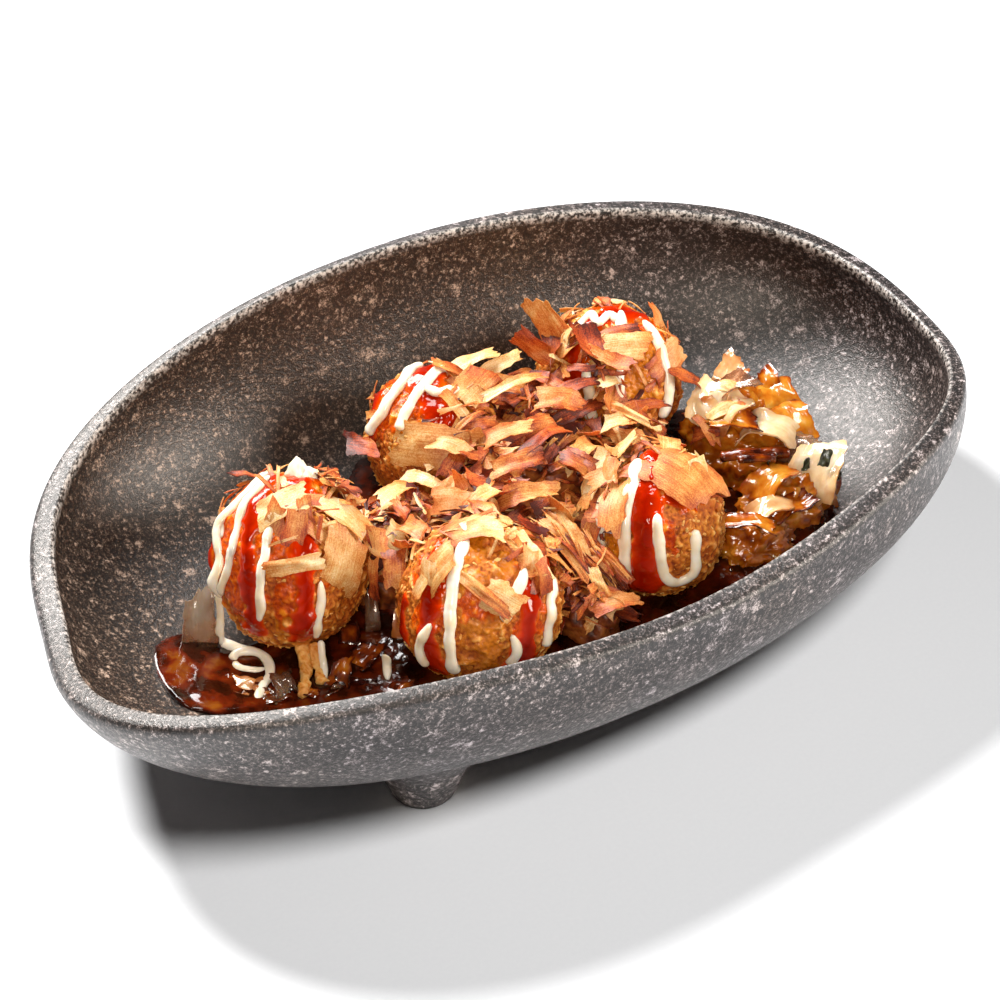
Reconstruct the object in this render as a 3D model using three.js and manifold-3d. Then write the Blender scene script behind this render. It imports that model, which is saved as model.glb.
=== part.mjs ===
// Takoyaki in an oval stoneware dish: five crumbed balls with sauce and flakes, a heap of flakes
// between them, a glazed heap at the right end and a shallow pool of sauce. Millimetres, +Z up.
import * as THREE from "three";
import { mergeVertices } from "three/addons/utils/BufferGeometryUtils.js";
import Module from "manifold-3d";

const wasm = await Module();
wasm.setup();

// Dish outline, seen from above.
const halfLength = 130;
const halfWidth = 80.3;
const squareness = 2.65;
const egg = 0.036;
const skew = 0.059;
const lobes = 0.029;
const planShift = new THREE.Vector2(-2.5, 0.81);
// Handmade wobble, as waves round the rim with a size and a phase in degrees: the outline's own,
// the rim's rise and fall about its mean height, and the lip's changing width.
const outlineWaves = [
  { waves: 3, size: 0.33, phase: 151 },
  { waves: 4, size: 0.35, phase: -68 },
  { waves: 5, size: 0.93, phase: -77 },
];
const rimMean = 58;
const rimWaves = [
  { waves: 1, size: 2.63, phase: 34.5 },
  { waves: 2, size: 7.95, phase: 166.8 },
  { waves: 3, size: 4.32, phase: -64.3 },
  { waves: 4, size: 1.23, phase: -136 },
  { waves: 5, size: 0.93, phase: 130 },
];
const lipWaves = [
  { waves: 2, size: 0.44, phase: 163 },
  { waves: 3, size: 1.02, phase: -30 },
];
// Section of the wall.
const underside = 9.5;
const floorLevel = 15.5;
const footprint = 0.54;
const floorPrint = 0.46;
const baseShift = new THREE.Vector2(10.5, 1);
const lipDrop = 3;
const lipWidth = 5.5;
const lipProfile = [
  { inset: 0, drop: 3 },
  { inset: 0.35, drop: 1.2 },
  { inset: 1.5, drop: 0.1 },
  { inset: 3.6, drop: 0.0 },
  { inset: 5.1, drop: 1.2 },
  { inset: 5.5, drop: 3 },
];
const outerRings = 6;
const innerRings = 7;
const dishSides = 48;
// Feet: three tapered pegs.
const feet = [
  { x: -50.2, y: -47.2 },
  { x: -50.2, y: 47.2 },
  { x: 68, y: 2 },
];
const footRadius = 8;
const footFlare = 13;
const footTop = 27;

// Clearance between neighbouring solids, and how far slivers may be evened out.
const gap = 0.3;
const evening = 0.22;
// The dish is set out along its own length; the sauce was trailed along this slanted heading.
const trailTurn = THREE.MathUtils.degToRad(-28.1);
const nearward = new THREE.Vector3(Math.sin(trailTurn), -Math.cos(trailTurn), 0);
const rightward = new THREE.Vector3(Math.cos(trailTurn), Math.sin(trailTurn), 0);
const upward = new THREE.Vector3(0, 0, 1);

// Balls. A trail is a run of [distance to the right, degrees from the top towards the near side].
// A flake is [right, degrees, length, width, turn, tilt].
const crustRelief = 0.8;
const balls = [
  {
    name: "ball_1",
    x: -60.4,
    y: 5.6,
    radius: 20.2,
    tall: 1.12,
    deep: 1.12,
    red: [
      { half: 2.6, trail: [[-4, -19], [-9, 29], [-9, 74], [-8, 104]] },
      { half: 2.2, trail: [[-16, 5], [-19, 40], [-18, 76]] },
      { half: 3.0, trail: [[3, -5], [5, 45], [5, 80], [4, 104]] },
    ],
    mayo: [
      { half: 1.5, trail: [[-4, -36], [-10, 0], [-15, 21], [-16.5, 63], [-17, 84]] },
      { half: 1.4, trail: [[-5, -5], [-10, 37], [-14, 70], [-15, 88]] },
      { half: 1.4, trail: [[-2, 30], [-5, 65], [-6, 103]] },
      { half: 1.5, trail: [[10, 72], [9, 104]] },
      { half: 3.2, trail: [[1, -24], [5, -22]] },
    ],
    flakes: [
      [14, 50, 15, 13, 80, 12],
      [-1, 14, 15, 9, 20, 14],
      [12, 8, 19, 8, -22, 10],
      [2, 52, 15, 4, 10, 16],
      [-10, -44, 9, 5, 160, 35],
    ],
    loose: 2,
  },
  {
    name: "ball_2",
    x: -24.1,
    y: -28.6,
    radius: 20.8,
    tall: 1,
    deep: 1.03,
    red: [
      { half: 3.4, trail: [[-11, 10], [-12, 47], [-13, 81], [-12, 106]] },
      { half: 3.3, trail: [[16, 0], [12.5, 40], [11, 88], [10, 106]] },
    ],
    mayo: [
      { half: 1.4, trail: [[-11.5, 64], [-14, 93], [-12, 108]] },
      { half: 1.6, trail: [[-3, 0], [-6, 30], [-7, 61], [-6, 104]] },
      { half: 1.5, trail: [[11, 20], [9, 40], [6, 62]] },
      { half: 1.4, trail: [[8, 72], [9, 85], [7, 98]] },
      { half: 1.4, trail: [[18.5, 4], [17, 47], [16, 100]] },
    ],
    flakes: [
      [-2, -6, 15, 11, -8, 12],
      [11, 4, 8, 14, 15, 14],
      [-10, 24, 13, 8, 35, 14],
      [1, 42, 17, 3, -40, 8],
      [5, 46, 10, 8, -30, 16],
    ],
    loose: 2,
  },
  {
    name: "ball_3",
    x: 31.5,
    y: -21.9,
    radius: 17.5,
    tall: 1.14,
    deep: 1.1,
    red: [
      { half: 3.8, trail: [[-1, -5], [-4, 42], [-4.5, 89], [-4, 104]] },
      { half: 2.4, trail: [[3, -5], [6, 15], [4, 30]] },
    ],
    mayo: [
      { half: 1.6, trail: [[-14, 0], [-14.5, 36], [-15, 84], [-13.5, 100]] },
      { half: 1.7, trail: [[-5, -5], [-7, 20], [-9, 57], [-8, 104]] },
      { half: 1.5, trail: [[-1, 45], [0.5, 87], [3, 101], [6, 104], [8.5, 96], [8.5, 57]] },
    ],
    flakes: [
      [6, 2, 26, 19, -35, 8],
      [-12, 10, 14, 6, 70, 20],
      [-9, -22, 12, 9, 10, 26],
    ],
    loose: 2,
  },
  {
    name: "ball_4",
    x: -3.1,
    y: 37.1,
    radius: 19,
    tall: 1,
    deep: 1,
    red: [
      { half: 2.4, trail: [[-14, -12], [-16, 10], [-17, 34]] },
      { half: 4.2, trail: [[-2, -22], [-2, 10], [2, 36]] },
    ],
    mayo: [
      { half: 1.7, trail: [[-3, -32], [-8, -7], [-13, 21], [-17, 46]] },
      { half: 1.5, trail: [[5, -25], [1, -7], [-6, 24], [-9, 46]] },
      { half: 3.0, trail: [[-1, 12], [3, 18]] },
    ],
    flakes: [
      [-1, 58, 22, 12, -4, 12],
      [9, 4, 13, 9, 60, 22],
      [13, 42, 22, 6, -12, 14],
      [8, -28, 15, 5, 30, 40],
    ],
    loose: 3,
  },
  {
    name: "ball_5",
    x: 49.8,
    y: 36.3,
    radius: 20.2,
    tall: 1,
    deep: 1,
    red: [
      { half: 3.4, trail: [[9, -18], [1, -6], [-5, 6]] },
      { half: 2.6, trail: [[-9, 20], [-9, 52]] },
    ],
    mayo: [
      { half: 3.0, trail: [[-6, 0], [-2, 4]] },
      { half: 1.5, trail: [[3, -10], [3, 12]] },
      { half: 1.5, trail: [[-6, 40], [-5, 88]] },
      { half: 1.4, trail: [[3, 35], [2.5, 60], [2, 88]] },
      { half: 1.7, trail: [[9, -5], [13, 15], [15.5, 45], [15.5, 73], [14, 98]] },
    ],
    flakes: [
      [1, 20, 15, 5, 14, 10],
      [-13, 6, 15, 8, 84, 66],
      [-16, 22, 13, 6, 110, 60],
      [15, 30, 17, 9, 50, 24],
      [2, 30, 17, 8, 4, 12],
    ],
    loose: 2,
  },
];

// Heap of flakes in the valley between the balls: lumps of its core, then the flakes on it.
const heapLumps = [
  { x: -30, y: 7, rx: 19, ry: 16, top: 42 },
  { x: 4, y: 3, rx: 26, ry: 24, top: 48 },
  { x: 24, y: 22, rx: 17, ry: 20, top: 47 },
  { x: 5, y: -29, rx: 12, ry: 15, top: 35 },
  { x: 43, y: 8, rx: 13, ry: 14, top: 42 },
];
const heapFlakes = 17;
// Glazed heap at the right-hand end, with its petals.
const glazedLumps = [
  { x: 75, y: 7, rx: 16, ry: 20, top: 40 },
  { x: 74, y: -18, rx: 15, ry: 12, top: 33 },
  { x: 58, y: -28, rx: 13, ry: 9, top: 30 },
];
const glazedPetals = 6;
// Petals set by hand: middle, length, width, heading in degrees, lean in degrees.
const setPetals = [
  { x: 79, y: 15, z: 40, length: 19, width: 12, turn: 60, lean: 62 },
  { x: 88.5, y: 8, z: 32, length: 21, width: 14, turn: 105, lean: 35 },
  { x: 76, y: -3, z: 37.5, length: 19, width: 12, turn: -20, lean: 12 },
  { x: 70, y: -10, z: 31.5, length: 19, width: 6, turn: 0, lean: 4 },
  { x: 68, y: -19, z: 32, length: 17, width: 12, turn: 40, lean: 28 },
  { x: 79, y: -22, z: 31, length: 17, width: 13, turn: 70, lean: 48 },
];
// Sauce pool: its level, the bays in its edge, and the mayonnaise looped on it.
const sauceLevel = 20.2;
const poolBays = [
  { x: 118, y: 20, r: 34 },
  { x: 20, y: 74, r: 24 },
  { x: 76, y: 60, r: 26 },
  { x: -42, y: 58, r: 20 },
  { x: -70, y: 34, r: 31 },
  { x: 112, y: -32, r: 24 },
];
const loopKnots = [[-78, 2], [-81, -3], [-78, -7], [-83, -12], [-81, -18]];
const loopHalf = 1.7;
// Flakes lying in the sauce: middle, length, width, heading in degrees, lean in degrees.
const poolFlakes = [
  { x: -63, y: -19, length: 13, width: 8, turn: 20, lean: 12 },
  { x: -74, y: -18, length: 10, width: 6, turn: 60, lean: 8 },
  { x: -85, y: -12, length: 10, width: 6, turn: -30, lean: 14 },
  { x: -69, y: -17, length: 15, width: 4, turn: 65, lean: 20 },
  { x: -57, y: -24, length: 12, width: 7, turn: -15, lean: 10 },
  { x: -85.5, y: 4.5, length: 19, width: 7.5, turn: 160, lean: 62 },
];

let seed = 20;
function chance(low = 0, high = 1) {
  seed = (seed * 16807) % 2147483647;
  return low + (high - low) * (seed / 2147483647);
}

// A closed solid from a geometry, each vertex moved by bend where one is given.
function solid(geometry, bend) {
  const bare = geometry.clone();
  bare.deleteAttribute("normal");
  bare.deleteAttribute("uv");
  const places = bare.getAttribute("position");
  const at = new THREE.Vector3();
  for (let i = 0; bend && i < places.count; i += 1) {
    at.fromBufferAttribute(places, i);
    bend(at);
    places.setXYZ(i, at.x, at.y, at.z);
  }
  const merged = mergeVertices(bare, 1e-3);
  return new wasm.Manifold(new wasm.Mesh({
    numProp: 3,
    vertProperties: new Float32Array(merged.getAttribute("position").array),
    triVerts: new Uint32Array(merged.index.array),
  }));
}

// The largest body of a solid, with loose scraps dropped and its finest slivers evened out.
function largest(body) {
  const bodies = body.simplify(evening).decompose();
  bodies.sort((a, b) => b.volume() - a.volume());
  return bodies[0];
}

function meshOf(body, name, colour, roughness) {
  const made = body.getMesh();
  const places = new Float32Array(made.numVert * 3);
  for (let i = 0; i < made.numVert; i += 1) {
    places.set(made.vertProperties.subarray(i * made.numProp, i * made.numProp + 3), i * 3);
  }
  const geometry = new THREE.BufferGeometry();
  geometry.setAttribute("position", new THREE.BufferAttribute(places, 3));
  geometry.setIndex(new THREE.BufferAttribute(new Uint32Array(made.triVerts), 1));
  geometry.computeVertexNormals();
  const mesh = new THREE.Mesh(
    geometry,
    new THREE.MeshStandardMaterial({ color: colour, roughness, metalness: 0 }),
  );
  mesh.name = name;
  return mesh;
}

// Sum of a list of waves at a turn round the dish.
function ripple(list, turn) {
  return list.reduce((sum, { waves, size, phase }) => {
    return sum + size * Math.cos(waves * turn - THREE.MathUtils.degToRad(phase));
  }, 0);
}

function rimHeight(turn) {
  return rimMean + ripple(rimWaves, turn);
}

// A point of the oval outline at an angle, set in from the outer edge, with its turn.
function outline(angle, inset) {
  const cos = Math.cos(angle);
  const sin = Math.sin(angle);
  const x = (halfLength - inset) * Math.sign(cos) * Math.abs(cos) ** (2 / squareness);
  const half = (halfWidth - inset) * (1 + (egg * x) / halfLength);
  const y = half * Math.sign(sin) * Math.abs(sin) ** (2 / squareness);
  const turn = Math.atan2(y / halfWidth, x / halfLength);
  const swell = 1 + skew * Math.sin(2 * turn) + lobes * Math.cos(3 * turn);
  const point = new THREE.Vector2(x * swell, y * swell);
  const inward = inset / lipWidth;
  point.setLength(point.length() + ripple(outlineWaves, turn) + inward * ripple(lipWaves, turn));
  return { point, turn };
}

// Rings of the wall from the middle out: a quarter ellipse from a flat bottom to under the lip.
function wallRings(count, flat, bottom, inset) {
  return Array.from({ length: count + 1 }, (_, i) => {
    const sweep = (Math.PI / 2) * (i / count);
    const rise = 1 - Math.cos(sweep);
    const scale = flat + (1 - flat) * Math.sin(sweep);
    return { inset, scale, rise, height: (rim) => bottom + (rim - lipDrop - bottom) * rise };
  });
}

function pole(ring) {
  return { ...ring, scale: 0 };
}

// A closed solid whose rings each follow the dish's outline.
function ovalSolid(rings) {
  const profile = rings.map((ring, i) => new THREE.Vector2(ring.scale === 0 ? 0 : 1, i));
  const lathe = new THREE.LatheGeometry(profile, dishSides);
  return solid(lathe, (at) => {
    const ring = rings[Math.round(at.y)];
    const { point, turn } = outline(Math.atan2(at.x, at.z), ring.inset);
    const fall = 1 - ring.rise;
    const rim = ring.scale === 0 ? rimMean : rimHeight(turn);
    at.set(
      point.x * ring.scale + baseShift.x * fall + planShift.x,
      point.y * ring.scale + baseShift.y * fall + planShift.y,
      ring.height(rim),
    );
  });
}

function dishBody() {
  const outer = wallRings(outerRings, footprint, underside, 0);
  const lip = lipProfile.slice(1, -1).map(({ inset, drop }) => {
    return { inset, scale: 1, rise: 1, height: (rim) => rim - drop };
  });
  const inner = wallRings(innerRings, floorPrint, floorLevel, lipWidth).reverse();
  return ovalSolid([pole(outer[0]), ...outer, ...lip, ...inner, pole(inner[innerRings])]);
}

// The space inside the dish, set in from its wall and open far above the rim.
function hollow(inset, ceiling) {
  const wall = wallRings(innerRings, floorPrint, floorLevel + inset, lipWidth + inset);
  const lid = { inset: lipWidth + inset, scale: 1, rise: 1, height: () => ceiling };
  return ovalSolid([pole(wall[0]), ...wall, lid, pole(lid)]);
}

function footBody({ x, y }) {
  const cone = new THREE.CylinderGeometry(footFlare, footRadius, footTop, 16, 3);
  return solid(cone, (at) => {
    const level = at.y + footTop / 2;
    const round = 1 - 0.12 * Math.max(0, 1 - level / 2) ** 2;
    at.set(x + at.z * round, y + at.x * round, level);
  });
}

// A place on a ball: right, near and up from its centre, stretched as the ball is.
function ballPlace(ball, right, near, up) {
  return new THREE.Vector3(ball.x, ball.y, ball.middle)
    .addScaledVector(rightward, right)
    .addScaledVector(nearward, near * ball.deep)
    .addScaledVector(upward, up * ball.tall);
}

// A ball's centre height is settled later, in its middle field.
function onBall(ball, across, degrees, lift) {
  const angle = THREE.MathUtils.degToRad(degrees);
  const reach = Math.sqrt(Math.max(ball.radius ** 2 - across ** 2, 0));
  const grow = (ball.radius + lift) / ball.radius;
  return ballPlace(ball, across * grow, reach * Math.sin(angle) * grow, reach * Math.cos(angle) * grow);
}

function outward(ball, place) {
  return place.clone().sub(new THREE.Vector3(ball.x, ball.y, ball.middle)).normalize();
}

// A plain ball a little larger than the crust, for cutting what lies round it.
function swollen(ball, grow) {
  return solid(new THREE.IcosahedronGeometry(ball.radius + grow, 2), (at) => {
    at.copy(ballPlace(ball, at.x, -at.y, at.z));
  });
}

// Crumbed crust: a ball with seeded crags that fade towards its seat.
function crust(ball) {
  const crags = Array.from({ length: 46 }, () => {
    const high = chance(-0.5, 1);
    const round = chance(0, Math.PI * 2);
    const flat = Math.sqrt(1 - high * high);
    const way = new THREE.Vector3(flat * Math.cos(round), flat * Math.sin(round), high);
    return { way, spread: chance(0.14, 0.3), size: chance(-0.6, 1) * crustRelief };
  });
  const sphere = new THREE.IcosahedronGeometry(1, 4);
  return solid(sphere, (at) => {
    at.normalize();
    const relief = crags.reduce((sum, crag) => {
      const away = at.angleTo(crag.way) / crag.spread;
      return away < 1 ? sum + crag.size * (1 - away * away) : sum;
    }, 0);
    const fade = THREE.MathUtils.smoothstep(at.z, -0.9, -0.3);
    at.multiplyScalar(ball.radius + relief * fade);
    at.copy(ballPlace(ball, at.x, -at.y, at.z));
  });
}

// A trail of sauce laid on a ball: an oval rope that follows its surface and thins at both ends.
function rope(ball, { half, trail }, thick) {
  const sink = 0.25 * thick;
  const knots = trail.map(([across, degrees]) => onBall(ball, across, degrees, sink));
  const line = new THREE.CatmullRomCurve3(knots);
  return ropeAlong(line, half, thick, 13, (centre) => outward(ball, centre));
}

// An oval rope along a line, laid flat against the outward way at each point.
function ropeAlong(line, half, thick, step, outAt) {
  const rows = Math.max(2, Math.round(line.getLength() / step));
  const rod = new THREE.CylinderGeometry(1, 1, 1, 5, rows);
  return solid(rod, (at) => {
    const along = THREE.MathUtils.clamp(at.y + 0.5, 0, 1);
    const end = Math.abs(2 * along - 1);
    const taper = Math.sqrt(1 - 0.7 * end ** 5);
    const centre = line.getPointAt(along);
    const out = outAt(centre);
    const side = line.getTangentAt(along).cross(out).normalize();
    const wide = at.x * half * taper;
    const deep = at.z * thick * taper;
    at.copy(centre).addScaledVector(side, wide).addScaledVector(out, deep);
  });
}

// One shaving: a thin five-sided sheet bent over a round of radius bow.
function shaving(place, out, heading, length, width, bow, thick = 0.7) {
  const side = new THREE.Vector3().crossVectors(out, heading).normalize();
  const sheet = new THREE.CylinderGeometry(1, 1, 1, 5, 1);
  const ragged = chance(0.7, 1);
  return solid(sheet, (at) => {
    const along = (at.z * length) / 2;
    const wide = (at.x * width * (at.z > 0 ? ragged : 1)) / 2;
    const fall = (along * along + wide * wide) / (2 * bow);
    const lift = at.y * thick - fall;
    at.copy(place)
      .addScaledVector(heading, along)
      .addScaledVector(side, wide)
      .addScaledVector(out, lift);
  });
}

// A shaving set by its heading and lean, in degrees.
function leaningFlake({ x, y, z, length, width, turn, lean }, bow, thick) {
  const heading = rightward.clone().applyAxisAngle(upward, THREE.MathUtils.degToRad(turn));
  const side = new THREE.Vector3().crossVectors(upward, heading);
  heading.applyAxisAngle(side, THREE.MathUtils.degToRad(-lean));
  const face = new THREE.Vector3().crossVectors(heading, side);
  return shaving(new THREE.Vector3(x, y, z), face, heading, length, width, bow, thick);
}

// A shaving on a ball: turned about the ball's outward way, then tilted up at one end.
function ballFlake(ball, [across, degrees, length, width, turn, tilt]) {
  const seat = onBall(ball, across, degrees, 0);
  const out = outward(ball, seat);
  const flat = rightward.clone().addScaledVector(out, -rightward.dot(out)).normalize();
  flat.applyAxisAngle(out, THREE.MathUtils.degToRad(turn));
  const side = new THREE.Vector3().crossVectors(out, flat);
  const lean = THREE.MathUtils.degToRad(-tilt);
  const heading = flat.clone().applyAxisAngle(side, lean);
  const face = out.clone().applyAxisAngle(side, lean);
  const raise = 0.3 + Math.sin(-lean) * length * 0.42;
  seat.addScaledVector(out, raise);
  return shaving(seat, face, heading, length, width, ball.radius * (tilt > 30 ? 2 : 1.05));
}

function looseFlake(ball) {
  const across = chance(-0.7, 0.7) * ball.radius;
  return ballFlake(ball, [
    across, chance(-70, 50), chance(8, 14), chance(4, 8), chance(0, 180), chance(8, 34),
  ]);
}

// Adds pieces that stay clear of the solids kept out, up to a count.
function fuse(base, pieces, keepOut, most = Infinity) {
  const kept = pieces.filter((piece) => {
    return keepOut.every((other) => piece.intersect(other).volume() < 1e-6);
  });
  return kept.slice(0, most).reduce((sum, piece) => sum.add(piece), base);
}

// Lowers a ball until it rests just clear of the dish.
function settle(ball, dish) {
  ball.middle = 60;
  const shape = crust(ball);
  let drop = 0;
  let clear = 1;
  while (clear > 0.02) {
    clear = shape.translate([0, 0, -drop]).minGap(dish, 60) - gap;
    drop += Math.max(clear, 0);
  }
  ball.middle -= drop;
}

function buildBall(ball, room, keepOut) {
  let body = crust(ball);
  ball.red.forEach((trail) => {
    body = body.add(rope(ball, trail, 1.1));
  });
  ball.mayo.forEach((trail) => {
    body = body.add(rope(ball, trail, trail.half * 0.8));
  });
  const flakes = ball.flakes.map((flake) => ballFlake(ball, flake));
  for (let i = 0; i < ball.loose; i += 1) flakes.push(looseFlake(ball));
  body = fuse(body, flakes, keepOut);
  return largest(body.intersect(room));
}

// Core of a heap: flattened lumps that stand on the sauce.
function lumpBody(lumps, bottom) {
  return lumps
    .map(({ x, y, rx, ry, top }) => {
      const rise = top - bottom;
      const ball = new THREE.IcosahedronGeometry(1, 2);
      return solid(ball, (at) => {
        at.normalize();
        const rough = 1 + 0.06 * Math.sin(7 * at.x + 5 * at.y) * Math.cos(6 * at.z + 4 * at.x);
        const level = at.z > 0 ? rise * at.z * rough : at.z * 6;
        at.set(x + rx * at.x * rough, y + ry * at.y * rough, bottom + level);
      });
    })
    .reduce((sum, lump) => sum.add(lump));
}

// Flakes scattered over a heap's lumps, each at a seeded lean.
function scatterOn(lumps, bottom, count, size, thick) {
  return Array.from({ length: count }, (_, i) => {
    const lump = lumps[i % lumps.length];
    const round = chance(0, Math.PI * 2);
    const out = Math.sqrt(chance(0, 0.72));
    const way = new THREE.Vector3(out * Math.cos(round), out * Math.sin(round), Math.sqrt(1 - out * out));
    const place = new THREE.Vector3(
      lump.x + lump.rx * way.x,
      lump.y + lump.ry * way.y,
      bottom + (lump.top - bottom) * way.z,
    );
    const heading = new THREE.Vector3(chance(-1, 1), chance(-1, 1), chance(-0.5, 0.9)).normalize();
    const face = way.addScaledVector(heading, -way.dot(heading)).normalize();
    place.addScaledVector(face, 0.2).addScaledVector(upward, Math.max(heading.z, 0) * size * 0.35);
    const length = size * chance(0.6, 1.25);
    return shaving(place, face, heading, length, length * chance(0.35, 0.7), chance(9, 24), thick);
  });
}

// A flake in the sauce, standing up from it where its lean is steep.
function sunkFlake(flake) {
  const rise = Math.sin(THREE.MathUtils.degToRad(flake.lean)) * flake.length * 0.4;
  return leaningFlake({ ...flake, z: sauceLevel + rise }, 30, 0.7);
}

function sum(bodies) {
  return bodies.reduce((all, body) => all.add(body));
}

// A body thickened by the gap each way, so that what is cut by it keeps clear.
function spread(body) {
  const steps = [[gap, 0, 0], [-gap, 0, 0], [0, gap, 0], [0, -gap, 0], [0, 0, gap], [0, 0, -gap]];
  return sum([body, ...steps.map((step) => body.translate(step))]);
}

function slab(low, high) {
  return solid(new THREE.BoxGeometry(300, 200, high - low), (at) => {
    at.z += (low + high) / 2;
  });
}

// Dish.
const legs = sum(feet.map(footBody)).subtract(hollow(-1.6, 100));
const dish = dishBody().add(legs);

// Food keeps inside this room; the heaps stand on the sauce's level.
const room = hollow(gap, 100);
const heapBottom = sauceLevel + gap;
const upperRoom = room.intersect(slab(heapBottom, 110));

balls.forEach((ball) => settle(ball, dish));
const crusts = balls.map((ball) => {
  const others = balls.filter((other) => other !== ball).map((other) => swollen(other, 1.8));
  return buildBall(ball, upperRoom.add(swollen(ball, 1)).intersect(room), others);
});
const allBalls = spread(sum(crusts));
const seats = sum(balls.map((ball) => swollen(ball, 2.2)));

function heapBody(lumps, flakes, keepOut, most) {
  const core = largest(lumpBody(lumps, heapBottom).subtract(seats).intersect(upperRoom));
  const whole = fuse(core, flakes, keepOut, most).intersect(upperRoom);
  return largest(whole.subtract(allBalls));
}

const shavings = scatterOn(heapLumps, heapBottom, heapFlakes * 4, 15, 0.7);
const heap = heapBody(heapLumps, shavings, [allBalls], heapFlakes);
const placed = setPetals.map((petal) => leaningFlake(petal, 16, 1));
const petals = [...placed, ...scatterOn(glazedLumps, heapBottom, glazedPetals * 3, 15, 1)];
const glazed = heapBody(glazedLumps, petals, [allBalls, spread(heap)], placed.length + glazedPetals);

// Sauce pool: the room up to the sauce's level, less bays at its edge and round the balls.
const bays = sum(poolBays.map(({ x, y, r }) => {
  return solid(new THREE.CylinderGeometry(r, r, 60, 18, 1), (at) => {
    at.set(x + at.z, y + at.x, 20 + at.y);
  });
}));
const moats = sum(balls.map((ball) => swollen(ball, 1.2)));
const sauce = largest(room.intersect(slab(0, sauceLevel)).subtract(bays).subtract(moats));
const loopLine = new THREE.CatmullRomCurve3(
  loopKnots.map(([x, y]) => new THREE.Vector3(x, y, sauceLevel + 0.3)),
);
const loop = ropeAlong(loopLine, loopHalf, 1.1, 4, () => upward.clone());
const afloat = [loop, ...poolFlakes.map(sunkFlake)];
const pool = largest(fuse(sauce, afloat, [allBalls, spread(glazed)]).intersect(room));

const root = new THREE.Group();
root.name = "takoyaki_dish";
root.add(meshOf(dish, "dish", 0x3d3836, 0.45));
crusts.forEach((body, i) => {
  root.add(meshOf(body, balls[i].name, 0xc07a30, 0.7));
});
root.add(meshOf(heap, "flake_heap", 0xd9ad78, 0.75));
root.add(meshOf(glazed, "glazed_heap", 0xa9682c, 0.35));
root.add(meshOf(pool, "sauce_pool", 0x5c1d0d, 0.15));

export default root;
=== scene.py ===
import math
import random

import bmesh
import bpy
import numpy as np
from mathutils import Matrix, Vector, noise
from mathutils.bvhtree import BVHTree


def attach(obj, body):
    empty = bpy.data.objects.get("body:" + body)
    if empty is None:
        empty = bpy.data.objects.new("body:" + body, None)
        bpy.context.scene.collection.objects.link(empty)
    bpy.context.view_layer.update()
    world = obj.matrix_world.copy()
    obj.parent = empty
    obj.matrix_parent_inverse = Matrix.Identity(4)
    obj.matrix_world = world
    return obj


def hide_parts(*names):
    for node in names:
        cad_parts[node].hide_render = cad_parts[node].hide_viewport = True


# without a seed the vector noise follows the clock, and no two runs are alike
noise.seed_set(5)
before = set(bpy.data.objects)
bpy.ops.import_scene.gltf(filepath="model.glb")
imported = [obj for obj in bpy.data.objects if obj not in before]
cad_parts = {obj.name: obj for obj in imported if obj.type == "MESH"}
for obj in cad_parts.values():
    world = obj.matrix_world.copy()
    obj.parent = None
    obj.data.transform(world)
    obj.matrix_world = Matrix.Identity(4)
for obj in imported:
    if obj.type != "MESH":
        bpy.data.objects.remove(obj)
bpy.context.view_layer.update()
mm = 0.001
viewTurn = math.radians(-28.1)
rightward = Vector((math.cos(viewTurn), math.sin(viewTurn), 0))
nearward = Vector((math.sin(viewTurn), -math.cos(viewTurn), 0))
upward = Vector((0, 0, 1))


def linear(hexText):
    # sRGB hex to the linear colour that a shader takes
    parts = [int(hexText[i:i + 2], 16) / 255 for i in (1, 3, 5)]
    return [p / 12.92 if p <= 0.04045 else ((p + 0.055) / 1.055) ** 2.4 for p in parts] + [1]


def addNode(tree, kind, settings=None, links=None):
    # one shader node with its settings and links, giving its outputs; "stops" are a ramp's places and colours
    node = tree.nodes.new("ShaderNode" + kind)
    for name, value in (settings or {}).items():
        if name == "stops":
            ramp = node.color_ramp.elements
            while len(ramp) < len(value):
                ramp.new(0.5)
            for stop, (place, colour) in zip(ramp, value):
                stop.position = place
                stop.color = linear(colour)
        elif isinstance(name, str) and hasattr(node, name):
            setattr(node, name, value)
        else:
            node.inputs[name].default_value = value
    for name, source in (links or {}).items():
        tree.links.new(source, node.inputs[name])
    return node.outputs


def startMaterial(name):
    material = bpy.data.materials.new(name)
    material.use_nodes = True
    tree = material.node_tree
    tree.nodes.clear()
    return material, tree


def closeMaterial(tree, settings, links):
    surface = addNode(tree, "BsdfPrincipled", settings, links)
    addNode(tree, "OutputMaterial", None, {"Surface": surface[0]})


def mottledMaterial(name, scale, detail, stops, settings, bump=None, bumpScale=None):
    # a plain stuff whose colour drifts over a noise of this scale to the metre; bump is strength and metres
    material, tree = startMaterial(name)
    where = {"Vector": addNode(tree, "TexCoord")["Object"]}
    cloud = addNode(tree, "TexNoise", {"Scale": scale, "Detail": detail}, where)
    links = {"Base Color": addNode(tree, "ValToRGB", {"stops": stops}, {"Fac": cloud[0]})[0]}
    if bump:
        height = addNode(tree, "TexNoise", {"Scale": bumpScale, "Detail": 2}, where) if bumpScale else cloud
        strength = {"Strength": bump[0], "Distance": bump[1]}
        links["Normal"] = addNode(tree, "Bump", strength, {"Height": height[0]})[0]
    closeMaterial(tree, settings, links)
    return material


def placePiece(name, mesh, material, node):
    # onto the root body in place of its node
    mesh.materials.append(material)
    piece = bpy.data.objects.new(name, mesh)
    bpy.context.scene.collection.objects.link(piece)
    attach(piece, "root")
    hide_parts(node)
    return piece


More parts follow.
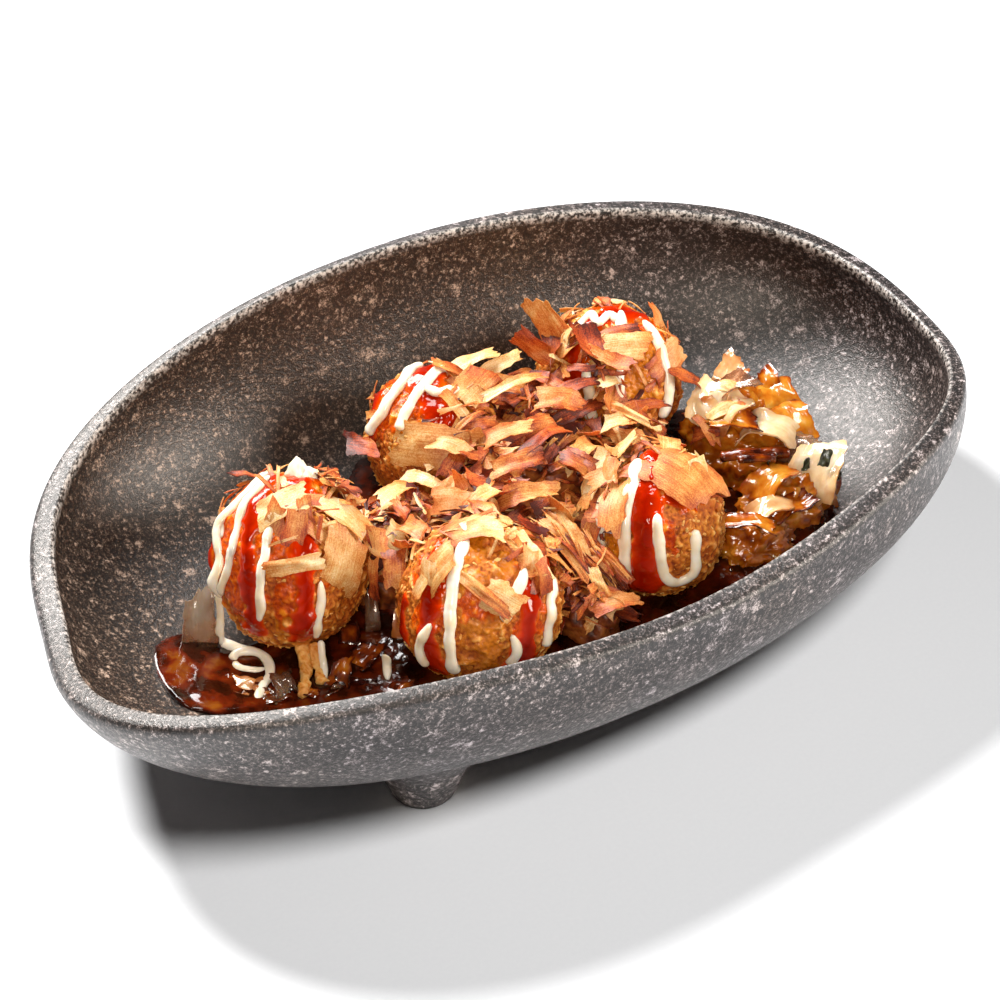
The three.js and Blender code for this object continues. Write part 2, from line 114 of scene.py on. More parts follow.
def makePiece(name, shape, material, node, smooth=True):
    # millimetres to metres, then placed
    bmesh.ops.scale(shape, vec=(mm, mm, mm), verts=shape.verts)
    mesh = bpy.data.meshes.new(name)
    for face in shape.faces:
        face.smooth = smooth
    shape.to_mesh(mesh)
    shape.free()
    return placePiece(name, mesh, material, node)


def wrapGrid(shape, around, along, place, mark=None):
    # a grid wrapped to a closed skin: place gives each corner from its two shares, mark may label it
    made = bmesh.ops.create_grid(shape, x_segments=around, y_segments=along, size=0.5)["verts"]
    for vert in made:
        u, v = vert.co.x + 0.5, vert.co.y + 0.5
        vert.co = place(u, v)
        if mark:
            mark(vert, v)
    bmesh.ops.remove_doubles(shape, verts=made, dist=1e-4)


def smoothLine(knots, count):
    # evenly spread points of a smooth line through the knots, and its length
    ends = [knots[0] * 2 - knots[1]] + knots + [knots[-1] * 2 - knots[-2]]
    dense = []
    for i in range(len(knots) - 1):
        a, b, c, d = ends[i:i + 4]
        for k in range(24):
            t = k / 24
            dense.append(0.5 * (2 * b + (c - a) * t + (2 * a - 5 * b + 4 * c - d) * t * t
                                + (3 * b - a - 3 * c + d) * t ** 3))
    dense.append(knots[-1].copy())
    run = [0]
    for p, q in zip(dense, dense[1:]):
        run.append(run[-1] + (q - p).length)
    line = []
    spot = 0
    for k in range(count):
        want = run[-1] * k / (count - 1)
        while spot < len(run) - 2 and run[spot + 1] < want:
            spot += 1
        share = (want - run[spot]) / max(run[spot + 1] - run[spot], 1e-6)
        line.append(dense[spot].lerp(dense[spot + 1], min(share, 1)))
    return line, run[-1]


# lamps: ways rightward, towards the back and up; size; watts; colour; what takes the light
view = {
    "place": (-0.29024, -0.53761, 0.55203), "back": (-0.3609, -0.6757, 0.6428), "lens": 110.378, "sensor": 36,
    "skyColour": "#fbfbff", "sky": 0.006, "lampsAimAt": (0, 0, 0.03), "floorReach": 3,
    "lamps": {
        "floorFront": ((0.42, -0.46, 1.05), 0.34, 11.5, "#ffffff", "floor"),
        "floorBack": ((-0.72, 0.54, 1.24), 0.38, 44.0, "#ffffff", "floor"),
        "softboxTop": ((-0.08, 0.10, 1.10), 0.30, 3.6, "#fffdf8", "part"),
        "softboxBack": ((-0.10, 0.66, 1.00), 0.40, 8.5, "#ffffff", "part"),
        "softboxLeft": ((-0.45, 0.55, 0.69), 0.52, 17.5, "#fffaf4", "part"),
        "softboxFront": ((-0.10, -0.80, 0.66), 0.30, 5.5, "#fff1e0", "part"),
        "softboxRight": ((0.98, -0.20, 0.48), 0.50, 13.0, "#fff6ea", "part"),
    },
}


def makeView():
    scene = bpy.context.scene
    camera = bpy.data.objects.new("camera", bpy.data.cameras.new("camera"))
    camera.location = view["place"]
    camera.rotation_euler = (-Vector(view["back"])).to_track_quat("-Z", "Y").to_euler()
    camera.data.lens = view["lens"]
    camera.data.sensor_width = view["sensor"]
    camera.data.clip_start = 0.01
    scene.collection.objects.link(camera)
    scene.camera = camera
    scene.view_settings.view_transform = "Standard"
    world = bpy.data.worlds.new("studio")
    world.use_nodes = True
    world.node_tree.nodes["Background"].inputs[0].default_value = linear(view["skyColour"])
    world.node_tree.nodes["Background"].inputs[1].default_value = view["sky"]
    scene.world = world
    floor = makeFloor()
    takers = {}
    for taker, state in (("floor", "INCLUDE"), ("part", "EXCLUDE")):
        takers[taker] = bpy.data.collections.new(taker)
        takers[taker].objects.link(floor)
        takers[taker].collection_objects[0].light_linking.link_state = state
    for name, (way, size, watts, colour, taker) in view["lamps"].items():
        lamp = bpy.data.objects.new(name, bpy.data.lights.new(name, "AREA"))
        lamp.data.shape = "DISK"
        lamp.data.size = size
        lamp.data.energy = watts
        lamp.data.color = linear(colour)[:3]
        lamp.location = rightward * way[0] - nearward * way[1] + upward * way[2]
        lamp.rotation_euler = (Vector(view["lampsAimAt"]) - lamp.location).to_track_quat("-Z", "Y").to_euler()
        scene.collection.objects.link(lamp)
        lamp.light_linking.receiver_collection = takers[taker]


def makeFloor():
    shape = bmesh.new()
    bmesh.ops.create_grid(shape, x_segments=8, y_segments=8, size=view["floorReach"])
    mesh = bpy.data.meshes.new("floor")
    shape.to_mesh(mesh)
    shape.free()
    # seamless studio paper: an even matt white
    mesh.materials.append(mottledMaterial("mattePaperBackdrop", 900, 2, [(0, "#f4f4f5"), (1, "#f9f9f9")],
                                          {"Roughness": 0.9, "Specular IOR Level": 0.1}))
    floor = bpy.data.objects.new("floor", mesh)
    bpy.context.scene.collection.objects.link(floor)
    return floor


# an egg-shaped superellipse with waves (count, size, phase in degrees), its rim's height, and its lip as
# insets and drops from the rim; all in millimetres
dish = {
    "halfLength": 130, "halfWidth": 80.3, "squareness": 2.65, "egg": 0.036, "skew": 0.059, "lobes": 0.029,
    "planShift": (-2.5, 0.81), "baseShift": (10.5, 1),
    "outlineWaves": [(3, 0.33, 151), (4, 0.35, -68), (5, 0.93, -77)],
    "rimMean": 58,
    "rimWaves": [(1, 2.63, 34.5), (2, 7.95, 166.8), (3, 4.32, -64.3), (4, 1.23, -136), (5, 0.93, 130)],
    "lipWaves": [(2, 0.44, 163), (3, 1.02, -30)],
    "underside": 9.5, "floorLevel": 15.5, "footprint": 0.54, "floorPrint": 0.46,
    "lipDrop": 3, "lipWidth": 5.5,
    "lip": [(0.08, 2.2), (0.3, 1.55), (0.7, 1.05), (1.3, 0.7), (2.2, 0.45), (3.2, 0.22), (4.1, 0.05),
            (4.7, 0.0), (5.05, 0.28), (5.3, 0.95), (5.42, 1.8)],
    "sides": 240, "outerRings": 26, "innerRings": 30,
    # lip rings that carry a painted highlight, and where the partly painted warm bounce light inside fades out
    # towards the right end
    "lipHighlightRings": {7: 0.5, 8: 1, 9: 1, 10: 0.5}, "brownTo": 45, "brownFade": 50,
    "feet": [(-50.2, -47.2), (-50.2, 47.2), (68, 2)], "footTip": 8, "footSpread": 5, "footFlare": 2.5,
}


def ripple(waves, turn):
    return sum(size * math.cos(count * turn - math.radians(phase)) for count, size, phase in waves)


def outline(angle, inset):
    d = dish
    cos, sin = math.cos(angle), math.sin(angle)
    x = (d["halfLength"] - inset) * math.copysign(abs(cos) ** (2 / d["squareness"]), cos)
    half = (d["halfWidth"] - inset) * (1 + d["egg"] * x / d["halfLength"])
    y = half * math.copysign(abs(sin) ** (2 / d["squareness"]), sin)
    turn = math.atan2(y / d["halfWidth"], x / d["halfLength"])
    swell = 1 + d["skew"] * math.sin(2 * turn) + d["lobes"] * math.cos(3 * turn)
    reach = math.hypot(x, y) * swell
    grown = reach + ripple(d["outlineWaves"], turn) + inset / d["lipWidth"] * ripple(d["lipWaves"], turn)
    return x * swell * grown / reach, y * swell * grown / reach, turn


def wallPoint(angle, inset, scale, rise, bottom, drop=None):
    # a point of the wall: from a flat bottom at rise 0 to the lip at rise 1
    x, y, turn = outline(angle, inset)
    rim = dish["rimMean"] + ripple(dish["rimWaves"], turn)
    fall = 1 - rise
    level = rim - drop if drop is not None else bottom + (rim - dish["lipDrop"] - bottom) * rise
    return Vector((x * scale + dish["baseShift"][0] * fall + dish["planShift"][0],
                   y * scale + dish["baseShift"][1] * fall + dish["planShift"][1], level))


def wallRings(count, flat, bottom, inset):
    rings = [(inset, flat * k / 4, 0, bottom, None) for k in range(4)]
    for k in range(count + 1):
        sweep = math.pi / 2 * k / count
        rings.append((inset, flat + (1 - flat) * math.sin(sweep), 1 - math.cos(sweep), bottom, None))
    return rings


def stonewareGlaze():
    # reduction-fired stoneware under a thin half-matt glaze: a charcoal ground with fine pits and pale dust,
    # round feldspar spots of 1 to 2 mm and fainter 4 mm blooms; browner inside, partly the glaze's own colour
    # and partly painted warm light bounced off the food, and a painted highlight along the lip's inner edge
    material, tree = startMaterial("speckledStonewareGlaze")
    spot = addNode(tree, "TexCoord")["Object"]
    # dust of 0.4 mm, grains of 1 mm and a drift over some 40 mm
    dust, grains, cloud = [addNode(tree, "TexNoise", {"Scale": scale, "Detail": 2, "Roughness": rough},
                                   {"Vector": spot})
                           for scale, rough in ((2300, 0.6), (900, 0.6), (28, 0.5))]
    warp = addNode(tree, "VectorMath", {"operation": "MULTIPLY_ADD", 1: (0.0011, 0.0011, 0.0011)},
                   {0: grains["Color"], 2: spot})
    pits = addNode(tree, "Math", {"operation": "ADD"}, {0: dust[0], 1: grains[0]})[0]
    level = pits
    for scale, share, weight in ((520, 0.40, 0.34), (210, 0.50, 0.34)):
        cells = addNode(tree, "TexVoronoi", {"Scale": scale}, {"Vector": warp[0]})
        disc = addNode(tree, "MapRange", {"From Min": 0.52, "From Max": 0.16}, {"Value": cells[0]})
        some = addNode(tree, "MapRange", {"From Min": share, "From Max": 0.95, "To Max": weight},
                       {"Value": cells["Color"]})
        bloom = addNode(tree, "Math", {"operation": "MULTIPLY"}, {0: disc[0], 1: some[0]})
        level = addNode(tree, "Math", {"operation": "ADD"}, {0: level, 1: bloom[0]})[0]
    centred = addNode(tree, "Math", {"operation": "SUBTRACT", 1: 0.53}, {0: level})
    speckle = addNode(tree, "ValToRGB", {"stops": [
        (0.22, "#080706"), (0.42, "#1d1918"), (0.53, "#38322f"), (0.66, "#6e6865"), (0.90, "#cfcac8")]},
        {"Fac": centred[0]})
    drift = addNode(tree, "ValToRGB", {"stops": [(0.35, "#f2e8e6"), (0.65, "#e8e4ee")]}, {"Fac": cloud[0]})
    inside, lipLineShare = [addNode(tree, "Attribute", {"attribute_name": name})["Fac"]
                       for name in ("inside", "edge")]
    # the warm tint inside is partly the glaze's own colour and partly painted warm light bounced off the food;
    # it fades towards the right end
    shade = addNode(tree, "Mix", {"data_type": "RGBA", 7: linear("#d6c0ae")}, {0: inside, 6: drift[0]})
    tinted = addNode(tree, "Mix", {"data_type": "RGBA", "blend_type": "MULTIPLY", 0: 1},
                     {6: speckle[0], 7: shade[2]})
    # painted highlight: a pale line along the lip's inner edge where the lamps catch it, broken up by the
    # grains
    grainBreak = addNode(tree, "MapRange", {"From Min": 0.42, "From Max": 0.62}, {"Value": grains[0]})
    paintedLipHighlight = addNode(tree, "Math", {"operation": "MULTIPLY"}, {0: lipLineShare, 1: grainBreak[0]})
    withLipHighlight = addNode(tree, "Mix", {"data_type": "RGBA", 7: linear("#c9c4c0")}, {0: paintedLipHighlight[0], 6: tinted[2]})
    rough = addNode(tree, "MapRange", {"From Min": 0.3, "From Max": 0.7, "To Min": 0.46, "To Max": 0.30},
                    {"Value": grains[0]})
    bump = addNode(tree, "Bump", {"Strength": 0.7, "Distance": 0.00022}, {"Height": pits})
    closeMaterial(tree, {"IOR": 1.62}, {"Base Color": withLipHighlight[2], "Roughness": rough[0], "Normal": bump[0]})
    return material


def makeDish():
    d = dish
    outer = wallRings(d["outerRings"], d["footprint"], d["underside"], 0)
    inner = wallRings(d["innerRings"], d["floorPrint"], d["floorLevel"], d["lipWidth"])
    rings = outer + [(inset, 1, 1, 0, drop) for inset, drop in d["lip"]] + inner[::-1]
    shape = bmesh.new()
    last = len(rings) - 1
    inside, edge = shape.verts.layers.float.new("inside"), shape.verts.layers.float.new("edge")

    def wall(u, v):
        return wallPoint(u * 2 * math.pi, *rings[round(v * last)])

    def mark(vert, v):
        # which glaze: browner inside but for the right end, partly the glaze's own colour and partly painted
        # warm light bounced off the food; a pale painted highlight along the lip's inner edge
        ring = round(v * last) - len(outer)
        rightEnd = min(max((vert.co.x - d["brownTo"]) / d["brownFade"], 0), 1)
        vert[inside] = min(max((ring - 6) / 4, 0), 1) * (1 - 0.8 * rightEnd)
        vert[edge] = d["lipHighlightRings"].get(ring, 0)

    wrapGrid(shape, d["sides"], last, wall, mark)
    under = BVHTree.FromBMesh(shape)
    for x, y in d["feet"]:
        # a tapered peg drawn up into the underside, flared where the glaze pools, its foot's edge rounded
        def peg(u, v, x=x, y=y):
            turn = u * 2 * math.pi
            share = min(v / 0.92, 1)
            wide = d["footTip"] + d["footSpread"] * share + d["footFlare"] * max(share - 0.75, 0) / 0.25
            wide *= 1 - 0.12 * max(0, 1 - v / 0.06) ** 2
            if v < 0.001:
                wide = 0
            foot = Vector((x + wide * math.cos(turn), y + wide * math.sin(turn), 0))
            hit = under.ray_cast(Vector((foot.x, foot.y, -20)), upward)[0]
            top = hit.z + 1.5 if hit else d["underside"]
            foot.z = top * max(v - 0.035, 0) / 0.965
            if v > 0.999:
                foot = Vector((x, y, under.ray_cast(Vector((x, y, -20)), upward)[0].z + 2))
            return foot
        wrapGrid(shape, 48, 30, peg)
    bmesh.ops.recalc_face_normals(shape, faces=shape.faces)
    return makePiece("stoneware_dish", shape, stonewareGlaze(), "dish")


# places on a ball are millimetres to the right and degrees from its top towards the front: red sauce trails
# (half width and knots), glaze and film (place, reach), mayonnaise (half width, knots, length of its end),
# dollops (place, width, height, peak), where few flakes lie (place, reach), and flakes (place, length, width,
# heading, lean, tone)
balls = {
    "ball_1": {
        "at": (-60.4, 5.6, 39.3), "radius": 20.2, "tall": 1.12, "deep": 1.12, "seed": 11,
        "red": [(2.6, [(-4, -19), (-9, 29), (-9, 74), (-8, 104)]), (2.2, [(-16, 5), (-19, 40), (-18, 76)]),
                (3.0, [(3, -5), (5, 45), (5, 80), (4, 104)])],
        "glaze": [(2, 60, 5), (8, -10, 7), (3, 90, 7)],
        "film": [(-9, -8, 15), (-13, 22, 14), (-14, 50, 13), (-13, 75, 9), (0, -18, 11), (-5, 30, 9),
                 (0, 50, 8), (2, 72, 8)],
        "mayo": [(1.45, [(-4, -36), (-9, -14), (-14, 0), (-16.6, 16), (-17, 54), (-17.7, 92), (-17.9, 106)]),
                 (1.25, [(-4, -14), (-10, 6), (-12.6, 28), (-13.6, 48)], 7),
                 (1.2, [(-13, 34), (-15, 60), (-17, 96)], 4),
                 (1.25, [(-3.4, 22), (-5.4, 52), (-6.4, 78), (-7, 96)], 7),
                 (0.9, [(-14, -12), (-15.6, 8), (-16, 26)], 6), (1.15, [(9, 64), (8.1, 90), (6.4, 112)], 5)],
        "blobs": [(2, -22, 3.1, 3.8, 0.5), (5, -20, 2.4, 2.4, 0.3)],
        "loose": 44, "bare": [(-14, 0, 11), (-14, 45, 13), (-8, 80, 12), (3, 70, 7), (2, -22, 5)],
        "flakes": [(14, 50, 15, 13, 80, 12, 0.72), (-1, 14, 14, 8, 20, 14, 0.85),
                   (12, 8, 19, 8, -22, 10, 0.85), (2, 52, 15, 4, 10, 16, 0.8),
                   (-10, -44, 9, 5, 160, 35, 0.4)],
    },
    "ball_2": {
        "at": (-24.1, -28.6, 36.6), "radius": 20.8, "tall": 1, "deep": 1.03, "seed": 22,
        "red": [(3.4, [(-11, 10), (-12, 47), (-13, 81), (-12, 106)]),
                (3.3, [(16, 0), (12.5, 40), (11, 88), (10, 106)]),
                (1.9, [(-19, 45), (-19.6, 78), (-18.6, 104)])],
        "glaze": [(0, 38, 7), (1, 62, 7), (2, 82, 6), (6, 25, 5), (-3, 10, 6)],
        "film": [(-12, 18, 7), (-13, 60, 6), (15, 18, 7), (13, 60, 6), (-1, 50, 5)],
        "mayo": [(1.4, [(-11.5, 64), (-14, 93), (-12, 108)]), (1.6, [(-3, 0), (-6, 30), (-7, 61), (-6, 104)]),
                 (1.5, [(11, 20), (9, 40), (6, 62)]), (1.4, [(8, 72), (9, 85), (7, 98)]),
                 (1.4, [(18.5, 4), (17, 47), (16, 100)])],
        "loose": 44, "bare": [(2, 40, 7)],
        "flakes": [(-2, -6, 15, 11, -8, 12, 0.66), (11, 4, 8, 14, 15, 14, 0.75),
                   (-10, 24, 13, 8, 35, 14, 0.7), (1, 42, 17, 3, -40, 8, 0.6), (5, 46, 10, 8, -30, 16, 0.78)],
    },
    "ball_3": {
        "at": (31.5, -21.9, 35.8), "radius": 17.5, "tall": 1.14, "deep": 1.1, "seed": 33,
        "red": [(3.8, [(-1, -5), (-4, 42), (-4.5, 89), (-4, 104)]), (2.4, [(3, -5), (6, 15), (4, 30)])],
        "glaze": [(-10, 30, 5), (10, 10, 6), (-12, 80, 5)],
        "film": [(-4, -6, 7), (5, 20, 7), (-4, 98, 6), (1, 60, 5), (-12, 15, 5)],
        "mayo": [(1.6, [(-14, 0), (-14.5, 36), (-15, 84), (-13.5, 100)]),
                 (1.7, [(-5, -5), (-7, 20), (-9, 57), (-8, 104)]),
                 (1.5, [(-1, 45), (0.5, 87), (3, 101), (6, 104), (8.5, 96), (8.5, 57)])],
        "loose": 24, "bare": [(-5, 30, 8), (3, 40, 8)],
        "flakes": [(5, 8, 23, 16, -35, 3, 0.54), (-12, 10, 14, 6, 70, 20, 0.8),
                   (-9, -22, 12, 9, 10, 26, 0.75)],
    },
    "ball_4": {
        "at": (-3.1, 37.1, 35.2), "radius": 19, "tall": 1, "deep": 1, "seed": 44,
        "red": [(2.4, [(-14, -12), (-16, 10), (-17, 34)]), (4.2, [(-2, -22), (-2, 10), (2, 36)])],
        "glaze": [(4, 0, 8), (-8, 30, 6), (8, 30, 7)],
        "film": [(-8, -6, 9), (-14, 18, 8), (0, -20, 10), (9, -14, 8), (-2, 24, 8)],
        "mayo": [(1.7, [(-3, -32), (-8, -7), (-13, 21), (-17, 46)]),
                 (1.5, [(5, -25), (1, -7), (-6, 24), (-9, 46)]), (0.9, [(8, -18), (7, 2), (3, 20)]),
                 (1.4, [(-3, 10), (1, 15), (5, 12)])],
        "loose": 34, "bare": [(-10, 0, 9), (-3, 22, 7)],
        "flakes": [(-1, 58, 22, 12, -4, 12, 0.7), (9, 4, 13, 9, 60, 22, 0.62), (13, 42, 22, 6, -12, 14, 0.55),
                   (8, -28, 15, 5, 30, 40, 0.85)],
    },
    "ball_5": {
        "at": (49.8, 36.3, 36.6), "radius": 20.2, "tall": 1, "deep": 1, "seed": 55,
        "red": [(3.4, [(9, -18), (1, -6), (-5, 6)]), (2.6, [(-9, 20), (-9, 52)])],
        "glaze": [(8, 45, 8), (8, 65, 8), (7, 80, 7), (-6, 10, 6), (12, 20, 5)],
        "film": [(4, -12, 8), (10, -8, 7), (-9, 26, 6), (-8, 45, 6), (6, 8, 6)],
        "mayo": [(1.1, [(-10, -4), (-8, 7), (-5, -5), (-3, 8), (0, -3), (2, 4)]), (1.5, [(3, -10), (3, 12)]),
                 (1.5, [(-6, 40), (-5, 88)]), (1.4, [(3, 35), (2.5, 60), (2, 88)]),
                 (1.7, [(9, -5), (13, 15), (15.5, 45), (15.5, 73), (14, 98)])],
        "loose": 30, "bare": [(-4, 0, 6), (8, -4, 7)],
        "flakes": [(1, 20, 15, 5, 14, 10, 0.4), (-13, 6, 15, 8, 84, 66, 0.62), (-16, 22, 13, 6, 110, 60, 0.5),
                   (15, 34, 14, 8, 50, 12, 0.66), (2, 30, 17, 8, 4, 12, 0.75)],
    },
}


def ballPlace(ball, right, near, up):
    return (Vector(ball["at"]) + rightward * right + nearward * (near * ball["deep"])
            + upward * (up * ball["tall"]))


def onBall(ball, across, degrees, lift=0):
    angle = math.radians(degrees)
    reach = math.sqrt(max(ball["radius"] ** 2 - across ** 2, 0))
    grow = (ball["radius"] + lift) / ball["radius"]
    return ballPlace(ball, across * grow, reach * math.sin(angle) * grow, reach * math.cos(angle) * grow)


def crustMaterial():
    # bread-crumb crust fried in oil: matt golden crumbs with deeper brown hollows; brown syrup, an orange
    # film of chilli sauce and thicker red trails lie on it, clear and wet; crumbs of 0.7 mm, browned over 8 mm
    material, tree = startMaterial("friedCrumbCrust")
    where = {"Vector": addNode(tree, "TexCoord")["Object"]}
    relief, sauce, thick, glaze, film = [addNode(tree, "Attribute", {"attribute_name": name})["Fac"]
                                         for name in ("relief", "sauce", "thick", "glaze", "film")]
    fine = addNode(tree, "TexNoise", {"Scale": 1500, "Detail": 3, "Roughness": 0.7}, where)
    toast = addNode(tree, "TexNoise", {"Scale": 130, "Detail": 3}, where)
    mixed = addNode(tree, "Math", {"operation": "MULTIPLY_ADD", 1: 0.6}, {0: fine[0], 2: relief})
    level = addNode(tree, "Math", {"operation": "SUBTRACT", 1: 0.28}, {0: mixed[0]})
    crumb = addNode(tree, "ValToRGB", {"stops": [
        (0.05, "#84380a"), (0.3, "#c06c1c"), (0.55, "#e0943a"), (0.85, "#f6c478")]}, {"Fac": level[0]})
    fried = addNode(tree, "ValToRGB", {"stops": [(0.40, "#ffffff"), (0.72, "#cf8c48")]}, {"Fac": toast[0]})
    colour = addNode(tree, "Mix", {"data_type": "RGBA", "blend_type": "MULTIPLY", 0: 0.75},
                     {6: crumb[0], 7: fried[0]})
    syrup = addNode(tree, "ValToRGB", {"stops": [(0, "#cf7a16"), (1, "#cf7a16")]})
    filmTone = addNode(tree, "ValToRGB", {"stops": [(0.1, "#a83002"), (0.4, "#d65404"), (0.85, "#f0901c")]},
                       {"Fac": level[0]})
    chilli = addNode(tree, "ValToRGB", {"stops": [
        (0.0, "#ec7810"), (0.3, "#dc4c06"), (0.6, "#bc2802"), (1.0, "#8e1000")]}, {"Fac": thick})
    for field, strength, tint in ((glaze, 0.55, syrup), (film, 0.95, filmTone), (sauce, 1, chilli)):
        share = addNode(tree, "Math", {"operation": "MULTIPLY", 1: strength}, {0: field})
        colour = addNode(tree, "Mix", {"data_type": "RGBA"}, {0: share[0], 6: colour[2], 7: tint[0]})
    thin = addNode(tree, "Math", {"operation": "MAXIMUM"}, {0: film, 1: glaze})
    wet = addNode(tree, "Math", {"operation": "MAXIMUM"}, {0: sauce, 1: thin[0]})[0]
    rough, coat, glow, dry = [
        addNode(tree, "MapRange", {"To Min": bare, "To Max": covered}, {"Value": field})[0]
        for field, bare, covered in ((wet, 0.6, 0.1), (wet, 0, 0.2), (wet, 0.2, 0.03), (sauce, 0.8, 0.06))]
    bump = addNode(tree, "Bump", {"Distance": 0.0003}, {"Height": fine[0], "Strength": dry})
    closeMaterial(tree, {"IOR": 1.36, "Subsurface Scale": 0.002, "Subsurface Radius": (1, 0.45, 0.18),
                         "Coat Roughness": 0.06},
                  {"Base Color": colour[2], "Roughness": rough, "Coat Weight": coat,
                   "Subsurface Weight": glow, "Normal": bump[0]})
    return material


def creamMaterial():
    # egg mayonnaise piped in a thin string: opaque cream, smooth, with a soft wet shine and swells of 4 mm
    return mottledMaterial("pipedMayonnaise", 240, 2, [(0.3, "#f8e2c0"), (0.55, "#fcf0dc"), (0.8, "#fef8ee")],
                           {"IOR": 1.46, "Roughness": 0.24, "Subsurface Weight": 0.35,
                            "Subsurface Scale": 0.0016, "Subsurface Radius": (1, 0.75, 0.45),
                            "Coat Weight": 0.35, "Coat Roughness": 0.08}, (0.12, 0.0004))


def step(low, high, value):
    share = np.clip((value - low) / (high - low), 0, 1)
    return share * share * (3 - 2 * share)


# the crust's crags: sizes and heights in millimetres; "lumps" are pairs of both
crags = {
    "split": 7, "quickSplit": 5, "grain": 1.9, "grainBend": 1.6, "grainHigh": 0.24, "fleck": 0.8,
    "fleckHigh": 0.36, "shardHigh": 1.25, "drift": 4.5, "raise": 0.25, "highest": 1.9,
    "lumps": [(8.5, 1.1), (16, 0.8), (3.8, 0.9)], "wobble": 3, "sink": 0.55, "trailPoints": 90,
}


def makeBall(name, ball, material):
    # the crust's skin: crags from noise, then sauces as fields that colour it and smooth it over
    c = crags
    shape = bmesh.new()
    bmesh.ops.create_icosphere(shape, subdivisions=c["split"], radius=1)
    mesh = bpy.data.meshes.new(name + "_crust")
    shape.to_mesh(mesh)
    shape.free()
    count = len(mesh.vertices)
    ways = np.zeros(count * 3, np.float32)
    mesh.vertices.foreach_get("co", ways)
    ways = ways.reshape(-1, 3).astype(float)
    ways /= np.linalg.norm(ways, axis=1)[:, None]
    radius = ball["radius"]
    shift = Vector((ball["seed"], 0, 0))
    relief = np.zeros(count)
    lumps = np.zeros(count)
    for i, way in enumerate(ways):
        at = Vector(way) * radius + shift
        near = noise.voronoi(at / c["grain"] + noise.noise_vector(at / c["grainBend"]) * 0.6)[0]
        grain = min((near[1] - near[0]) * 1.4, 1)
        shard = max(0, noise.noise(at / c["grain"] + Vector((7, 3, 1))) - 0.1)
        relief[i] = (c["grainHigh"] * grain * (0.6 + 0.8 * noise.noise(at / c["drift"]))
                     + c["fleckHigh"] * noise.noise(at / c["fleck"]) + c["shardHigh"] * shard + c["raise"])
        lumps[i] = sum(noise.noise(at / size) * high for size, high in c["lumps"])
    relief = np.clip(relief, 0, c["highest"])
    centre = np.array(ball["at"])
    base = (centre + np.outer(ways[:, 0] * radius, rightward)
            + np.outer(-ways[:, 1] * radius * ball["deep"], nearward)
            + np.outer(ways[:, 2] * radius * ball["tall"], upward))
    wobble = np.array([noise.noise(Vector(p) / c["wobble"] + shift) for p in base])

    def patches(spots, soft):
        share = np.zeros(count)
        for across, degrees, wide in spots:
            away = np.sqrt(((base - np.array(onBall(ball, across, degrees))) ** 2).sum(1))
            share = np.maximum(share, 1 - away / wide + wobble * 0.9)
        return step(0.03, soft, share)

    # a trail is thickest down its middle and swells at its foot
    thick = np.zeros(count)
    for half, trail in ball["red"]:
        line, length = smoothLine([onBall(ball, *knot) for knot in trail], c["trailPoints"])
        away = np.full(count, 1e9)
        nearest = np.zeros(count)
        for k, spot in enumerate(line):
            apart = ((base - np.array(spot)) ** 2).sum(1)
            closer = apart < away
            away[closer] = apart[closer]
            nearest[closer] = k / (c["trailPoints"] - 1)
        bulge = 0.9 + 0.22 * np.sin(nearest * length / 3.1 + half * 9) + 0.2 * (nearest > 0.9)
        thick = np.maximum(thick, 1 - np.sqrt(away) / (half * 1.25 * bulge + wobble * 1.6))
    sauce = step(0.0, 0.16, thick)
    depth = np.sqrt(np.clip(thick, 0, 1))
    glaze = patches(ball["glaze"], 0.42)
    film = patches(ball["film"], 0.3)
    seat = step(-0.95, -0.4, ways[:, 2])
    rise = (lumps * 0.7 + relief * (1 - 0.75 * sauce) * (1 - 0.4 * film - 0.15 * glaze)
            + glaze * 0.35 + film * 0.3 + sauce * (0.3 + 0.9 * depth))
    at = centre + (base - centre) * (1 + (rise * seat - c["sink"]) / radius)[:, None]
    mesh.vertices.foreach_set("co", (at * mm).astype(np.float32).ravel())
    for label, values in (("relief", relief / 1.3), ("sauce", sauce), ("thick", depth), ("glaze", glaze),
                          ("film", film)):
        layer = mesh.attributes.new(label, "FLOAT", "POINT")
        layer.data.foreach_set("value", values.astype(np.float32))
    mesh.polygons.foreach_set("use_smooth", [True] * len(mesh.polygons))
    dry = at[(sauce < 0.15) & (glaze < 0.5) & (film < 0.5) & (ways[:, 2] > -0.8)]
    return placePiece(name + "_crust", mesh, material, name), dry


# sizes in millimetres, the widths and heights as shares of the length
crumbs = {
    "count": 620, "quickCount": 60, "long": (0.3, 1.0), "wide": (0.25, 0.6), "high": (0.12, 0.3),
    "tone": (0.3, 0.9), "jagged": (0.7, 1.35),
}


def scatterCrumbs(name, ball, spots, material):
    # loose splinters of bread crumb standing off the crust
    draw = random.Random(ball["seed"])
    shape = bmesh.new()
    relief = shape.verts.layers.float.new("relief")
    for _ in range(crumbs["count"]):
        place = Vector(spots[draw.randrange(len(spots))])
        out = (place - Vector(ball["at"])).normalized()
        heading = Vector((draw.gauss(0, 1), draw.gauss(0, 1), draw.gauss(0, 1)))
        heading = (heading - out * heading.dot(out) * draw.uniform(0.45, 1)).normalized()
        side = heading.cross(out).normalized()
        face = side.cross(heading)
        long, tone = draw.uniform(*crumbs["long"]), draw.uniform(*crumbs["tone"])
        wide, high = long * draw.uniform(*crumbs["wide"]), long * draw.uniform(*crumbs["high"])
        for vert in bmesh.ops.create_icosphere(shape, subdivisions=1, radius=1)["verts"]:
            x, y, z = vert.co * draw.uniform(*crumbs["jagged"])
            vert.co = place + out * 0.1 + heading * (x * long) + side * (y * wide) + face * (z * high)
            vert[relief] = tone
    makePiece(name + "_crumbs", shape, material, name, smooth=False)


